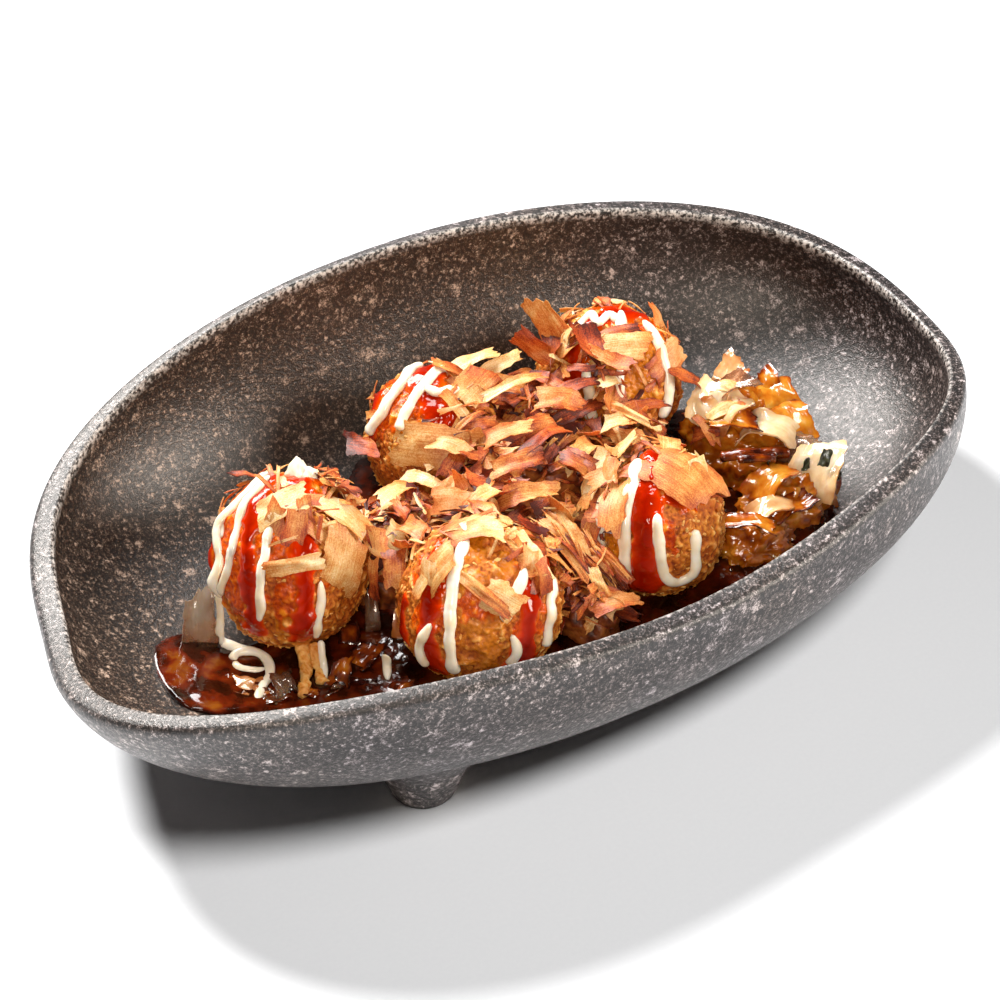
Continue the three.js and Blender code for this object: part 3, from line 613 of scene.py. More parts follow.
def skinTree(pieces):
    # a tree for finding the surface, in millimetres
    shape = bmesh.new()
    for piece in pieces:
        shape.from_mesh(piece.data)
    bmesh.ops.scale(shape, vec=(1 / mm,) * 3, verts=shape.verts)
    tree = BVHTree.FromBMesh(shape)
    shape.free()
    return tree


def endShare(away, tip):
    share = min(max(away / tip, 0), 1)
    return math.sqrt(share * (2 - share))


def addRope(shape, line, outs, half, flat=0.72, tips=(5, 1.6)):
    # an uneven string along a line: it thins away at its start and ends in a fuller drop
    rows = len(line) - 1
    run = [0]
    for p, q in zip(line, line[1:]):
        run.append(run[-1] + (q - p).length)

    def place(u, v):
        k = round(v * rows)
        along, left = run[k], run[-1] - run[k]
        girth = half * endShare(along, tips[0]) * endShare(left, tips[1])
        girth *= 1 + 0.30 * noise.noise(line[k] / 4.0) + 0.08 * noise.noise(line[k] / 1.4)
        girth *= 1 + 0.15 * max(0, 1 - left / 5)
        way = (line[min(k + 1, rows)] - line[max(k - 1, 0)]).normalized()
        side = way.cross(outs[k]).normalized()
        turn = u * 2 * math.pi
        return line[k] + side * (girth * math.cos(turn)) + outs[k] * (girth * flat * math.sin(turn))

    wrapGrid(shape, 14, rows, place)


def ropeOnBall(shape, ball, skin, half, trail, tip=1.6):
    # the string follows the crust, bridging its hollows
    centre = Vector(ball["at"])
    knots = [onBall(ball, *knot) for knot in trail]
    count = max(8, round(smoothLine(knots, 12)[1] / 0.55))
    line = smoothLine(knots, count)[0]
    heights = []
    for point in line:
        way = (point - centre).normalized()
        hit = skin.ray_cast(centre + way * 40, -way)[0]
        heights.append((hit - centre).length if hit else (point - centre).length)
    placed, outs = [], []
    for k, point in enumerate(line):
        near = heights[max(0, k - 3):k + 4]
        outs.append((point - centre).normalized())
        bridged = centre + outs[k] * (sum(near) / len(near) + 0.3 * half)
        placed.append(bridged + noise.noise_vector(point / 5) * 0.5)
    addRope(shape, placed, outs, half, tips=(5, tip))


def addBlob(shape, place, out, wide, tall, peak):
    # a dollop: round below, drawn up to a soft point by its peak share
    seed = Vector(place) * 0.7
    side = out.orthogonal().normalized()
    across = out.cross(side)
    for vert in bmesh.ops.create_icosphere(shape, subdivisions=4, radius=1)["verts"]:
        x, y, z = vert.co
        swell = 1 + 0.22 * noise.noise(vert.co * 1.6 + seed) + 0.08 * noise.noise(vert.co * 4 + seed)
        narrow = 1 - peak * max(z, 0)
        vert.co = (place + side * (x * wide * narrow * swell) + across * (y * wide * narrow * swell)
                   + out * (z * tall * (swell if z < 0 else swell + 0.3 * peak * z)))


def shavingMaterial():
    # dried, smoked bonito planed into brittle shavings: cream and peach to red-brown, with patches of 4 mm,
    # fibres 0.3 mm apart and 8 mm long, pores of 0.4 mm and darker torn edges; thin enough to glow, dry, so
    # only a faint satin shine
    material, tree = startMaterial("driedBonitoShaving")
    level = addNode(tree, "Attribute", {"attribute_name": "tone"})["Fac"]
    fibre = {"Vector": addNode(tree, "Attribute", {"attribute_name": "fibre"})["Vector"]}
    lines = addNode(tree, "Mapping", {"Scale": (0.12, 3.6, 1)}, fibre)
    grain = addNode(tree, "TexNoise", {"Scale": 1, "Detail": 3, "Roughness": 0.65}, {"Vector": lines[0]})
    patch = addNode(tree, "TexNoise", {"Scale": 0.26, "Detail": 3}, fibre)
    pores = addNode(tree, "TexNoise", {"Scale": 2.6, "Detail": 2, "Roughness": 0.7}, fibre)
    for pattern, weight in ((grain, 0.62), (patch, 0.6), (pores, 0.7)):
        level = addNode(tree, "Math", {"operation": "MULTIPLY_ADD", 1: weight}, {0: pattern[0], 2: level})[0]
    level = addNode(tree, "Math", {"operation": "SUBTRACT", 1: 1.04}, {0: level})
    colour = addNode(tree, "ValToRGB", {"stops": [
        (0.0, "#461608"), (0.12, "#762a0e"), (0.24, "#9e461e"), (0.36, "#b86029"), (0.48, "#ca7f3c"),
        (0.6, "#d89a58"), (0.76, "#e6ba82"), (1.0, "#f2dab4")]}, {"Fac": level[0]})
    # some pieces were cut nearer the blood line: pinker
    parts = addNode(tree, "SeparateXYZ", None, fibre)
    chance = addNode(tree, "TexWhiteNoise", {"noise_dimensions": "1D"}, {"W": parts[2]})
    pink = addNode(tree, "MapRange", {"From Min": 0.6, "From Max": 1.0, "To Max": 0.7}, {"Value": chance[0]})
    flesh = addNode(tree, "Mix", {"data_type": "RGBA", "blend_type": "MULTIPLY", 7: linear("#f6bc9c")},
                    {0: pink[0], 6: colour[0]})
    bump = addNode(tree, "Bump", {"Strength": 0.5, "Distance": 0.00025}, {"Height": grain[0]})
    closeMaterial(tree, {"IOR": 1.45, "Roughness": 0.45, "Subsurface Weight": 0.35,
                         "Subsurface Scale": 0.0012, "Subsurface Radius": (1, 0.5, 0.25)},
                  {"Base Color": flesh[2], "Normal": bump[0]})
    return material


def wetMaterial(name, stops, clear, rough):
    # shavings soaked in brown sauce: amber and shining, patches of 4 mm and wrinkles 0.7 mm apart, the thin
    # ones letting light through
    material, tree = startMaterial(name)
    tone = addNode(tree, "Attribute", {"attribute_name": "tone"})
    fibre = {"Vector": addNode(tree, "Attribute", {"attribute_name": "fibre"})["Vector"]}
    patch = addNode(tree, "TexNoise", {"Scale": 0.28, "Detail": 3}, fibre)
    lines = addNode(tree, "Mapping", {"Scale": (0.15, 1.4, 1)}, fibre)
    grain = addNode(tree, "TexNoise", {"Scale": 1, "Detail": 2}, {"Vector": lines[0]})
    mixed = addNode(tree, "Math", {"operation": "MULTIPLY_ADD", 1: 0.9}, {0: patch[0], 2: tone["Fac"]})
    level = addNode(tree, "Math", {"operation": "SUBTRACT", 1: 0.45}, {0: mixed[0]})
    colour = addNode(tree, "ValToRGB", {"stops": stops}, {"Fac": level[0]})
    bump = addNode(tree, "Bump", {"Strength": 0.35, "Distance": 0.0006}, {"Height": grain[0]})
    closeMaterial(tree, {"IOR": 1.42, "Roughness": rough, "Coat Weight": 1, "Coat Roughness": 0.04,
                         "Subsurface Weight": 0.3, "Subsurface Scale": 0.002,
                         "Subsurface Radius": (1, 0.45, 0.15), "Transmission Weight": clear},
                  {"Base Color": colour[0], "Normal": bump[0]})
    return material


def startSheets():
    shape = bmesh.new()
    layers = shape.verts.layers.float.new("tone"), shape.verts.layers.float_vector.new("fibre")
    return shape, layers


def addSheet(shape, layers, draw, place, heading, face, length, width, tone, bow, ragged, slope, cup=0.0,
             taper=0.0, twist=0.0, wave=0.4, edge=0.12, cells=(6, 3)):
    # one shaving: a sheet bent over bow, cupped across, twisted, with torn edges
    side = face.cross(heading).normalized()
    made = bmesh.ops.create_grid(shape, x_segments=cells[0], y_segments=cells[1], size=1)["verts"]
    seed, skew = draw.uniform(0, 500), draw.uniform(-0.5, 0.5)
    toneLayer, fibreLayer = layers
    for vert in made:
        s, t = vert.co.x, vert.co.y
        torn = noise.noise(Vector((s * 1.5, t * 1.7, seed)))
        rip = noise.noise(Vector((s * 2.0, t * 6.0, seed + 9)))
        nick = noise.noise(Vector((s * 5.0, t, seed + 5)))
        narrow = (1 - taper * (s + 1) / 2) * (1 + ragged * noise.noise(Vector((s * 1.3, 0, seed))))
        along = length / 2 * (s + skew * t * width / length + ragged * (1.2 * torn + 1.3 * rip) * abs(s) ** 3)
        wide = width / 2 * (t * narrow + ragged * (0.7 * torn + 0.9 * nick) * abs(t) ** 3
                            + 0.25 * noise.noise(Vector((s, 4, seed))))
        turn = along / bow
        lift = -abs(bow) * (1 - math.cos(turn)) * (1 if bow > 0 else -1)
        run = abs(bow) * math.sin(abs(turn)) * (1 if along > 0 else -1)
        lift += cup * wide * wide / max(width, 1) + wave * noise.noise(Vector((s * 1.4, t * 1.2, seed + 3)))
        spin = twist * s
        vert.co = (place + heading * run + side * (wide * math.cos(spin) - lift * math.sin(spin))
                   + face * (lift * math.cos(spin) + wide * math.sin(spin)))
        vert[toneLayer] = tone + slope * s - edge * max(abs(s), abs(t)) ** 5
        vert[fibreLayer] = (along + seed * 3, wide, seed)


def closeSheets(name, shape, material, node, thick):
    for edge in shape.edges:
        edge.smooth = not edge.is_boundary
    piece = makePiece(name, shape, material, node)
    wall = piece.modifiers.new("wall", "SOLIDIFY")
    wall.thickness = thick * mm
    wall.offset = 0


def ballSheet(shape, layers, draw, ball, skin, flake, tone, **extra):
    # a shaving laid on the crust, its far end raised by its lean
    across, degrees, length, width, turn, tilt = flake
    seat = onBall(ball, across, degrees)
    out = (seat - Vector(ball["at"])).normalized()
    hit = skin.ray_cast(Vector(ball["at"]) + out * 45, -out)[0]
    flat = (rightward - out * rightward.dot(out)).normalized()
    flat = Matrix.Rotation(math.radians(turn), 3, out) @ flat
    side = out.cross(flat)
    lean = Matrix.Rotation(math.radians(-tilt), 3, side)
    heading, face = lean @ flat, lean @ out
    raised = 0.5 + math.sin(math.radians(tilt)) * length * 0.42
    place = (hit or seat) + out * raised
    bow = ball["radius"] * (2 if tilt > 30 else 1.15)
    addSheet(shape, layers, draw, place, heading, face, length, width, tone, bow, **extra)


# lumps of a bed: x, y, half length, half width and top in millimetres; "order" is how often shavings fall on
# each; a large shaving, a small one and a thin shred differ in length and width, the small one's width being
# a share of its length; shreds hang from the first place to the second, spread by the number beside it; spans
# are single shavings from end to end (x, y, z, x, y, z, width, tone, lengthwise bow)
heap = {
    "lumps": [(-30, 7, 19, 16, 42), (4, 3, 26, 24, 48), (24, 22, 17, 20, 47), (5, -29, 12, 15, 35),
              (43, 8, 13, 14, 42), (20, 35, 8, 8, 43)],
    "bottom": 20.5, "shrink": 2, "rough": 0.16, "seed": 5, "flakes": 820, "quickFlakes": 80, "thick": 0.16,
    "order": [0, 0, 0, 1, 1, 1, 1, 2, 2, 2, 3, 3, 4, 4, 5], "lowest": 24, "reach": 1.12, "pile": 4,
    "largeShare": 0.10, "sheetShare": 0.55, "large": (11, 17), "small": (3, 9), "sheetWidth": (0.35, 0.75),
    "shredWidth": (0.5, 1.9), "bow": (5, 22),
    "shreds": 34, "hang": [((5, -16, 45.5), 5), ((10, -39.5, 34.5), 7)],
    "spans": [
        (-30, 36, 44, -24, 30, 45, 8, 0.28, 20), (-13.7, 10.5, 44.5, -2.3, 18.1, 49, 5, 0.42, 14),
        (-7.9, 19.9, 50, 6.3, 24.4, 52, 2, 0.5, 9), (-19.4, 6.9, 43, -11.8, 6.8, 46.5, 4.5, 0.62, 12),
        (-16, -8, 50, -6, -4, 49.5, 6, 0.72, 10),
        (2, -40, 33.5, 15, -42, 33, 7, 0.6, 16), (-45.8, -11.9, 47, -46.6, -13.6, 34, 3.4, 0.42, 22),
        (-38.4, -9.4, 46, -41.8, -17.3, 40, 7, 0.5, 14), (6.6, 26.6, 54, 27, 29.2, 52.5, 3.4, 0.8, 24),
        (-5.2, 1.5, 51, 9.8, -0.6, 52, 5.6, 0.5, 16), (30.8, 7.3, 44, 13.3, -4.9, 50.4, 6, 0.7, 20),
        (-7, -7.2, 48.5, 8.6, -10.9, 48.4, 6.6, 0.6, 14), (4, 2.3, 54, 22.7, 9.3, 50.6, 4, 0.36, 18),
        (-33.1, 9.3, 46.5, -19.8, 16, 42.4, 6, 0.72, 16), (-32.8, -1.3, 46, -31.8, -12, 50, 5.6, 0.66, 14),
        (36.8, 12.5, 45, 57, 14, 42.8, 5, 0.5, 18), (36.9, 16.2, 47, 43.9, 3.7, 46.2, 3, 0.76, 14),
        (18, 20, 53, 30, 14, 51, 7, 0.58, 12), (-22, 2, 46.5, -12, -4, 47, 7, 0.78, 14),
        (14, -2, 51.5, 20, -12, 48, 6, 0.46, 12), (-2, 12, 52, 12, 10, 53.5, 6.5, 0.68, 18),
        (12.8, 38.9, 50.3, 24, 39, 52.5, 4.7, 0.85, 14), (17, 37, 47, 28.3, 38.6, 46, 3.7, 0.5, 12),
        (16, 33, 46, 27, 30.8, 47, 4.2, 0.2, 16), (24, 37, 48, 29, 25, 50, 4.7, 0.4, 16),
        (3.6, 29.4, 52.4, 18.3, 28.8, 46.1, 5.3, 0.3, 16), (9.2, 34.4, 52, 21.1, 30.4, 48, 5.8, 0.62, 14),
        (63.6, 15.4, 37.5, 62.5, -0.2, 36.8, 5.3, 0.5, 12), (66.4, 15, 41.2, 74.7, 9.2, 44.4, 4.2, 0.8, 12),
        (63.1, 6.2, 39.5, 72.5, 3.5, 43.5, 4.7, 0.7, 12), (59.1, 18.1, 48, 69, 16.1, 41.5, 6.8, 0.35, 16),
        (59.2, 8.6, 33, 66.4, 0.2, 39, 4.2, 0.3, 12), (24.2, 21.9, 50.5, 38.7, 21.6, 51, 5.3, 0.3, 18),
        (22.2, 13.8, 48.5, 38.7, 18.1, 46, 4.7, 0.2, 18), (-4.8, 21.7, 51, 7.8, 20.5, 48, 5.8, 0.3, 18),
        (-12.5, 21.3, 49.5, -5.2, 12.5, 49, 4.7, 0.8, 12), (-21.7, 23.8, 40, -15.6, 9.6, 44.5, 5.8, 0.85, 12),
        (3.6, 9.8, 52, 21.2, 12, 50, 6.8, 0.35, 16), (14.7, 0.2, 50, 20, -12.7, 49.7, 5.8, 0.3, 14),
        (32.8, 10.7, 45, 42.8, 7, 46, 5.3, 0.8, 12),
    ],
}
# petals lie on the glazed heap: x, y, z, length, width, heading and lean in degrees, kind, tone; "small" ones
# are scattered between them; rolls are half width and knots; nori scraps are place, length, width, heading
glazed = {
    "lumps": [(75, 7, 16, 20, 40), (74, -18, 15, 12, 33), (58, -28, 13, 9, 30)],
    "bottom": 20.5, "shrink": 1.6, "rough": 0.3, "seed": 8, "bedTone": 0.48, "rollTone": 0.22, "thick": 0.4,
    "small": 210, "lowest": 20, "reach": 1.05, "smallLength": (3, 10), "smallWidth": (0.3, 0.8),
    "smallBow": (5, 14), "petalBow": (9, 18), "noriThick": 0.25, "noriLean": 38,
    "petals": [
        (75, 15, 41, 15, 10, 50, 44, "pale", 0.55), (88.5, 8, 33, 21, 14, 105, 35, "amber", 0.62),
        (76, -3, 38.5, 19, 12, -20, 12, "pale", 0.8), (68, -19, 33, 17, 12, 40, 28, "amber", 0.62),
        (80, -21, 32.5, 19, 17, 62, 52, "pale", 0.8), (70, 6, 41, 14, 12, 30, 20, "pale", 0.62),
        (68, 1, 40.5, 14, 9, -10, 8, "amber", 0.58), (87, 13, 34, 15, 9, 95, 42, "amber", 0.5),
        (85, -3, 34.5, 15, 12, 110, 30, "amber", 0.66), (63, -26, 31, 14, 8, 20, 16, "pale", 0.5),
        (55, -28, 31, 15, 6, -20, 14, "amber", 0.5), (70, -27, 30, 14, 7, 30, 14, "amber", 0.44),
        (80, 22, 31, 13, 10, 40, 30, "amber", 0.12), (82, -12, 33, 12, 10, 60, 30, "clear", 0.5),
        (66, 10, 40, 13, 10, 70, 40, "pale", 0.75), (74, 10, 43, 12, 9, 10, 30, "clear", 0.6),
    ],
    "rolls": [(1.6, [(60, -6, 35), (68, -9, 35.4), (78, -13, 35)]),
              (1.3, [(63, -10, 36), (68, -12, 36), (73, -14, 35.6)])],
    "nori": [(83, -22, 37.5, 5, 2.8, 66), (78.5, -20, 35.6, 3, 2.2, 80), (85, -26, 33.5, 2.2, 1.8, 50),
             (71, -14, 35.6, 2.4, 1.6, 20)],
}
# bays are dry rounds of the floor (x, y, radius); the smear is sauce left on the wall at the pool's end: how
# far it reaches and between which turns in degrees; strings are half width, length of their end and knots;
# flakes are x, y, length, width, heading, lean, kind, tone
pool = {
    "level": 20.2, "centre": (6, 0, 0), "skin": 1.2, "past": 1.6,
    "bays": [(118, 20, 34), (20, 74, 24), (76, 60, 26), (-42, 58, 20), (-70, 34, 31), (112, -32, 24)],
    "bayBlend": 3, "shore": 5, "around": 300, "along": 100, "smear": 15, "smearFrom": 173, "smearTo": 194,
    "seed": 31, "thick": 0.3, "stickHalf": 1.6,
    "strings": [(1.3, 7, [(-81, 4.6, 37), (-81.4, 3.6, 30), (-82.4, 2.6, 25), (-81.4, 2.7, 22.2),
                          (-79.1, 0.3, 21.5), (-75.6, -3.4, 21.2)]),
                (1.25, 3, [(-82, -3.4, 21.2), (-80.2, -2.2, 21.8), (-77.3, -3, 22.2), (-75, -5.5, 22.2),
                          (-74.4, -9, 21.9), (-75.8, -13, 21.6), (-78.7, -15.4, 21.3), (-81.2, -17.9, 21),
                          (-82.8, -19.8, 20.8)]),
                (0.9, 3, [(-82, -4.2, 21.2), (-81.2, -7.3, 21.3), (-78.2, -9.6, 21.3), (-75.6, -10.4, 21.3)]),
                (1.3, 4, [(-48.8, -24.7, 26), (-49.1, -25.7, 22.5), (-50.4, -28.6, 21.1)]),
                (1.1, 4, [(-62.2, -15, 29), (-63, -17.1, 26), (-63.4, -18.7, 23.5), (-64.6, -21.7, 21.6)])],
    "flakes": [
        (-63, -19, 13, 8, 20, 12, "amber", 0.2), (-74, -18, 10, 6, 60, 8, "amber", 0.05),
        (-85, -12, 10, 6, -30, 14, "pale", 0.15), (-57, -24, 12, 7, -15, 10, "amber", 0.15),
        (-86.4, 6.6, 18, 10, 96, 74, "clear", 0.75), (-61, -22.9, 9, 7, 75, 40, "amber", 0.4),
        (-88, -12.3, 11, 8, 20, 8, "amber", 0.5), (-93, -4, 9, 7, 60, 16, "clear", 0.4),
        (-75, -19.6, 10, 7, 110, 20, "clear", 0.45), (-82, -15.5, 9, 7, 10, 12, "pale", 0.1),
        (-52.5, -19, 10, 7, 50, 24, "amber", 0.35), (-52.5, -11, 9, 6, 100, 30, "amber", 0.2),
        (-45.5, -10, 15, 4, 100, 78, "clear", 0.35), (-39.4, -16, 16, 8, 80, 70, "pale", 0.12),
        (-79, -20, 9, 6, 10, 10, "clear", 0.2), (-66, -25, 10, 5, 40, 12, "clear", 0.3),
        (-88, -8, 12, 7, 100, 6, "amber", 0.1), (-70, -22, 8, 5, -40, 16, "amber", 0.3),
        (-50, -33, 10, 6, 30, 20, "amber", 0.3), (-4, -46, 12, 7, 10, 14, "amber", 0.25),
        (10, -47, 11, 6, 40, 20, "pale", 0.3), (-92, -5, 8, 5, 60, 10, "clear", 0.3),
    ],
    "sticks": [((-65.8, -11.4, 26.5), (-67.8, -17.4, 23), (-72, -24.4, 21.6)),
               ((-63.4, -13.5, 27.5), (-64.5, -18.5, 23), (-65.6, -22.5, 21.6))],
}


def addLumps(shape, bed):
    # rough mounds, a little inside the solid so that shavings find room on them
    for x, y, rx, ry, top in bed["lumps"]:
        for vert in bmesh.ops.create_icosphere(shape, subdivisions=5, radius=1)["verts"]:
            way = vert.co.normalized()
            swell = (1 + bed["rough"] * noise.noise(way * 3 + Vector((x, y, 0)))
                     + bed["rough"] * 0.5 * noise.noise(way * 9 + Vector((y, x, 0))))
            high = (top - bed["shrink"] - bed["bottom"]) * way.z if way.z > 0 else way.z * 6
            vert.co = Vector((x + (rx - bed["shrink"]) * way.x * swell,
                              y + (ry - bed["shrink"]) * way.y * swell, bed["bottom"] + high * swell))


def dropOn(skin, draw, lump, reach):
    # where something dropped at a chance spot over a lump lands, and the way the skin faces there
    x, y, rx, ry = lump[:4]
    turn = draw.uniform(0, 2 * math.pi)
    out = math.sqrt(draw.uniform(0, 1)) * reach
    above = Vector((x + rx * out * math.cos(turn), y + ry * out * math.sin(turn), 120))
    return skin.ray_cast(above, -upward)[:2]


def heapCoreMaterial():
    # packed damp shavings under the heap, stained by sauce: dark red-brown clumps of 3 mm with little light,
    # their darkness partly painted shade for the deep gaps between the loose shavings
    return mottledMaterial("stainedAndShadedShavingBed", 320, 3,
                           [(0.3, "#3d170c"), (0.5, "#7d3a17"), (0.72, "#b0682c")],
                           {"IOR": 1.45, "Roughness": 0.4}, (0.6, 0.0012))


def makeHeap():
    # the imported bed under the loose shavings
    shape = bmesh.new()
    addLumps(shape, heap)
    return makePiece("heap_bed", shape, heapCoreMaterial(), "flake_heap")


def addSpan(shape, layers, draw, span):
    # a single shaving laid from one end to the other, facing up
    start, end = Vector(span[:3]), Vector(span[3:6])
    heading = (end - start).normalized()
    tilted = upward + nearward * draw.uniform(0, 0.7) + rightward * draw.uniform(-0.3, 0.3)
    face = (tilted - heading * tilted.dot(heading)).normalized()
    addSheet(shape, layers, draw, (start + end) / 2, heading, face, (end - start).length, span[6], span[7],
             bow=span[8], cup=draw.uniform(-0.3, 0.5), wave=0.9, ragged=0.2, slope=draw.uniform(-0.2, 0.2),
             taper=draw.uniform(0, 0.5), cells=(16, 7))


def scatterHeap(skin, shavings):
    # large shavings, small ones and thin shreds over each other, the lower ones darker as painted shade deep
    # in the pile
    h = heap
    draw = random.Random(h["seed"])
    shape, layers = startSheets()
    for span in h["spans"]:
        addSpan(shape, layers, draw, span)
    for _ in range(h["shreds"]):
        # fine shreds hanging side by side over the heap's near end
        start, end = [Vector(at) + Vector((draw.uniform(-wide, wide), draw.uniform(-3, 3),
                                           draw.uniform(-2.5, 1.5))) for at, wide in h["hang"]]
        start, end = start.lerp(end, draw.uniform(0, 0.6)), end.lerp(start, draw.uniform(0, 0.35))
        addSpan(shape, layers, draw, (*start, *end, draw.choice([0.7, 1, 1.6, 3.4]), draw.uniform(0.2, 0.75),
                                      draw.uniform(12, 40)))
    made = 0
    while made < (h["flakes"]):
        hit, normal = dropOn(skin, draw, h["lumps"][draw.choice(h["order"])], h["reach"])
        if hit is None or normal.z < 0.15 or hit.z < h["lowest"]:
            continue
        made += 1
        kind = draw.random()
        length = draw.uniform(*h["large" if kind < h["largeShare"] else "small"])
        sheet = kind < h["sheetShare"]
        width = length * draw.uniform(*h["sheetWidth"]) if sheet else draw.uniform(*h["shredWidth"])
        heading = Vector((draw.uniform(-1, 1), draw.uniform(-1, 1), draw.uniform(-0.4, 0.6)))
        soft = normal + upward * 0.7 + Vector((draw.uniform(-0.7, 0.7), draw.uniform(-0.7, 0.7), 0))
        soft.normalize()
        heading = (heading - soft * heading.dot(soft)).normalized()
        lift = draw.uniform(0, h["pile"])
        # lower shavings darker: painted shade deep in the pile
        tone = 0.12 + 0.42 * min(lift / 3, 1) + draw.gauss(0, 0.22)
        addSheet(shape, layers, draw, hit + normal * 0.4 + upward * lift, heading, soft, length, width,
                 min(max(tone, 0.02), 0.9), bow=draw.choice([-1, 1, 1]) * draw.uniform(*h["bow"]),
                 cup=draw.uniform(-0.4, 0.7), taper=draw.choice([0, 0.2, 0.5, 0.9]),
                 twist=draw.uniform(-0.6, 0.6), ragged=draw.uniform(0.12, 0.34),
                 slope=draw.uniform(-0.22, 0.22),
                 cells=(11, 7) if kind < h["largeShare"] else (6, 6) if sheet else (6, 3))
    closeSheets("heap_shavings", shape, shavings, "flake_heap", h["thick"])


def poolMaterial():
    # thin brown fruit-and-soy sauce run together on the dish's floor: dark, clear red-brown and wet, with
    # amber clouds of 8 mm where it thins out and ripples of 2 mm
    return mottledMaterial("brownTableSauce", 130, 3, [(0.3, "#120502"), (0.48, "#2c0c04"), (0.6, "#581a06"),
                                                       (0.74, "#74400e"), (0.87, "#4c4612")],
                           {"IOR": 1.4, "Roughness": 0.1, "Coat Weight": 0.15, "Coat Roughness": 0.04,
                            "Subsurface Weight": 0.2, "Subsurface Scale": 0.003,
                            "Subsurface Radius": (1, 0.3, 0.1)}, (0.1, 0.001), 420)


def makePool(dishSkin):
    level, floor = pool["level"], dish["floorLevel"]
    centre = Vector(pool["centre"])

    def swirl(at, size, seed):
        return noise.noise(Vector((at.x / size, at.y / size, seed)))

    def shore(angle):
        # where the inner wall stands at the sauce's level
        turn = outline(angle, dish["lipWidth"])[2]
        rim = dish["rimMean"] + ripple(dish["rimWaves"], turn)
        rise = (level - floor) / (rim - dish["lipDrop"] - floor)
        scale = dish["floorPrint"] + (1 - dish["floorPrint"]) * math.sqrt(1 - (1 - rise) ** 2)
        return wallPoint(angle, dish["lipWidth"], scale, rise, floor) - Vector((0, 0, level))

    def place(u, v):
        reach = shore(u * 2 * math.pi) - centre
        turn = math.degrees(math.atan2(reach.y, reach.x)) % 360
        window = max(0, 1 - ((turn - pool["smearFrom"]) / (pool["smearTo"] - pool["smearFrom"]) * 2 - 1) ** 4)
        past = pool["past"] + pool["smear"] * window
        at = centre + reach * (v * (1 + past / reach.length))
        # the bays run together in soft points
        gaps = [math.hypot(at.x - x, at.y - y) - r for x, y, r in pool["bays"]]
        away, blend = min(gaps), pool["bayBlend"]
        away -= blend * math.log(sum(math.exp((away - gap) / blend) for gap in gaps)) - swirl(at, 9, 3) * 2.2
        share = min(max(away / pool["shore"], 0), 1)
        swell = 0.4 * swirl(at, 6, 8) + 0.2 * swirl(at, 2.4, 5)
        top = floor - 1.2
        if away > 0:
            top = floor - 0.6 + (level + swell - floor + 0.6) * math.sqrt(1 - (1 - share) ** 2)
        beyond = v * (reach.length + past) - reach.length
        wall = dishSkin.ray_cast(Vector((at.x, at.y, 120)), -upward)[0]
        if window > 0 and beyond > -3 and away > 0 and wall:
            fade = beyond / past + 0.5 * swirl(at, 4, 1)
            top = max(top, wall.z + min(0.9, 2.2 * (0.85 - fade)) * min(away / 3, 1))
        at.z = top
        return at

    shape = bmesh.new()
    wrapGrid(shape, pool["around"], pool["along"], place)
    piece = makePiece("sauce_pool_top", shape, poolMaterial(), "sauce_pool")
    wall = piece.modifiers.new("wall", "SOLIDIFY")
    wall.thickness = pool["skin"] * mm
    wall.offset = -1
    return piece


def addPetal(target, draw, spot, size, turn, lean, tone, bow, cells):
    # a wet shaving at a spot, turned about the upright and leaning
    heading = Matrix.Rotation(math.radians(turn), 3, upward) @ rightward
    side = upward.cross(heading)
    tip = Matrix.Rotation(math.radians(-lean), 3, side) @ heading
    addSheet(*target, draw, Vector(spot), tip, tip.cross(side).normalized(), *size, tone, bow=bow,
             cup=draw.uniform(0.1, 0.6), taper=draw.uniform(0.1, 0.5), twist=draw.uniform(-0.3, 0.3),
             slope=draw.uniform(-0.25, 0.25), wave=1.6, ragged=0.13, edge=0.25, cells=cells)


def makePoolThings(wet, cream, crust):
    # mayonnaise, sunken shavings and a stick of crust lying in the sauce
    shape = bmesh.new()
    for half, tip, knots in pool["strings"]:
        line = smoothLine([Vector(knot) for knot in knots], 60)[0]
        outs = [(upward - rightward * 0.35 + nearward * 0.35).normalized()] * 60
        addRope(shape, line, outs, half, flat=0.8, tips=(1.2, tip))
    bmesh.ops.recalc_face_normals(shape, faces=shape.faces)
    makePiece("pool_mayonnaise", shape, cream, "sauce_pool")
    draw = random.Random(pool["seed"])
    targets = {kind: startSheets() for kind in wet}
    for x, y, length, width, turn, lean, kind, tone in pool["flakes"]:
        rise = math.sin(math.radians(lean)) * length * 0.4
        addPetal(targets[kind], draw, (x, y, pool["level"] + 0.2 + rise), (length, width), turn, lean, tone,
                 draw.uniform(9, 20), (14, 9))
    for kind, (sheets, _) in targets.items():
        closeSheets("pool_" + kind + "_shavings", sheets, wet[kind], "sauce_pool", pool["thick"])
    shape = bmesh.new()
    relief = shape.verts.layers.float.new("relief")
    for knots in pool["sticks"]:
        line = smoothLine([Vector(knot) for knot in knots], 24)[0]
        addRope(shape, line, [upward] * 24, pool["stickHalf"], tips=(1, 1))
    for vert in shape.verts:
        vert.co += noise.noise_vector(vert.co / 1.3) * 0.8
        vert[relief] = 0.65 + 0.4 * noise.noise(vert.co / 0.8)
    bmesh.ops.recalc_face_normals(shape, faces=shape.faces)
    makePiece("pool_crust_stick", shape, crust, "sauce_pool")


def noriMaterial():
    # roasted seaweed torn small: almost black green, matt, with wrinkles of 1 mm
    return mottledMaterial("roastedSeaweed", 900, 2, [(0.35, "#12120a"), (0.65, "#34361c")],
                           {"IOR": 1.45, "Roughness": 0.4}, (0.5, 0.0002))


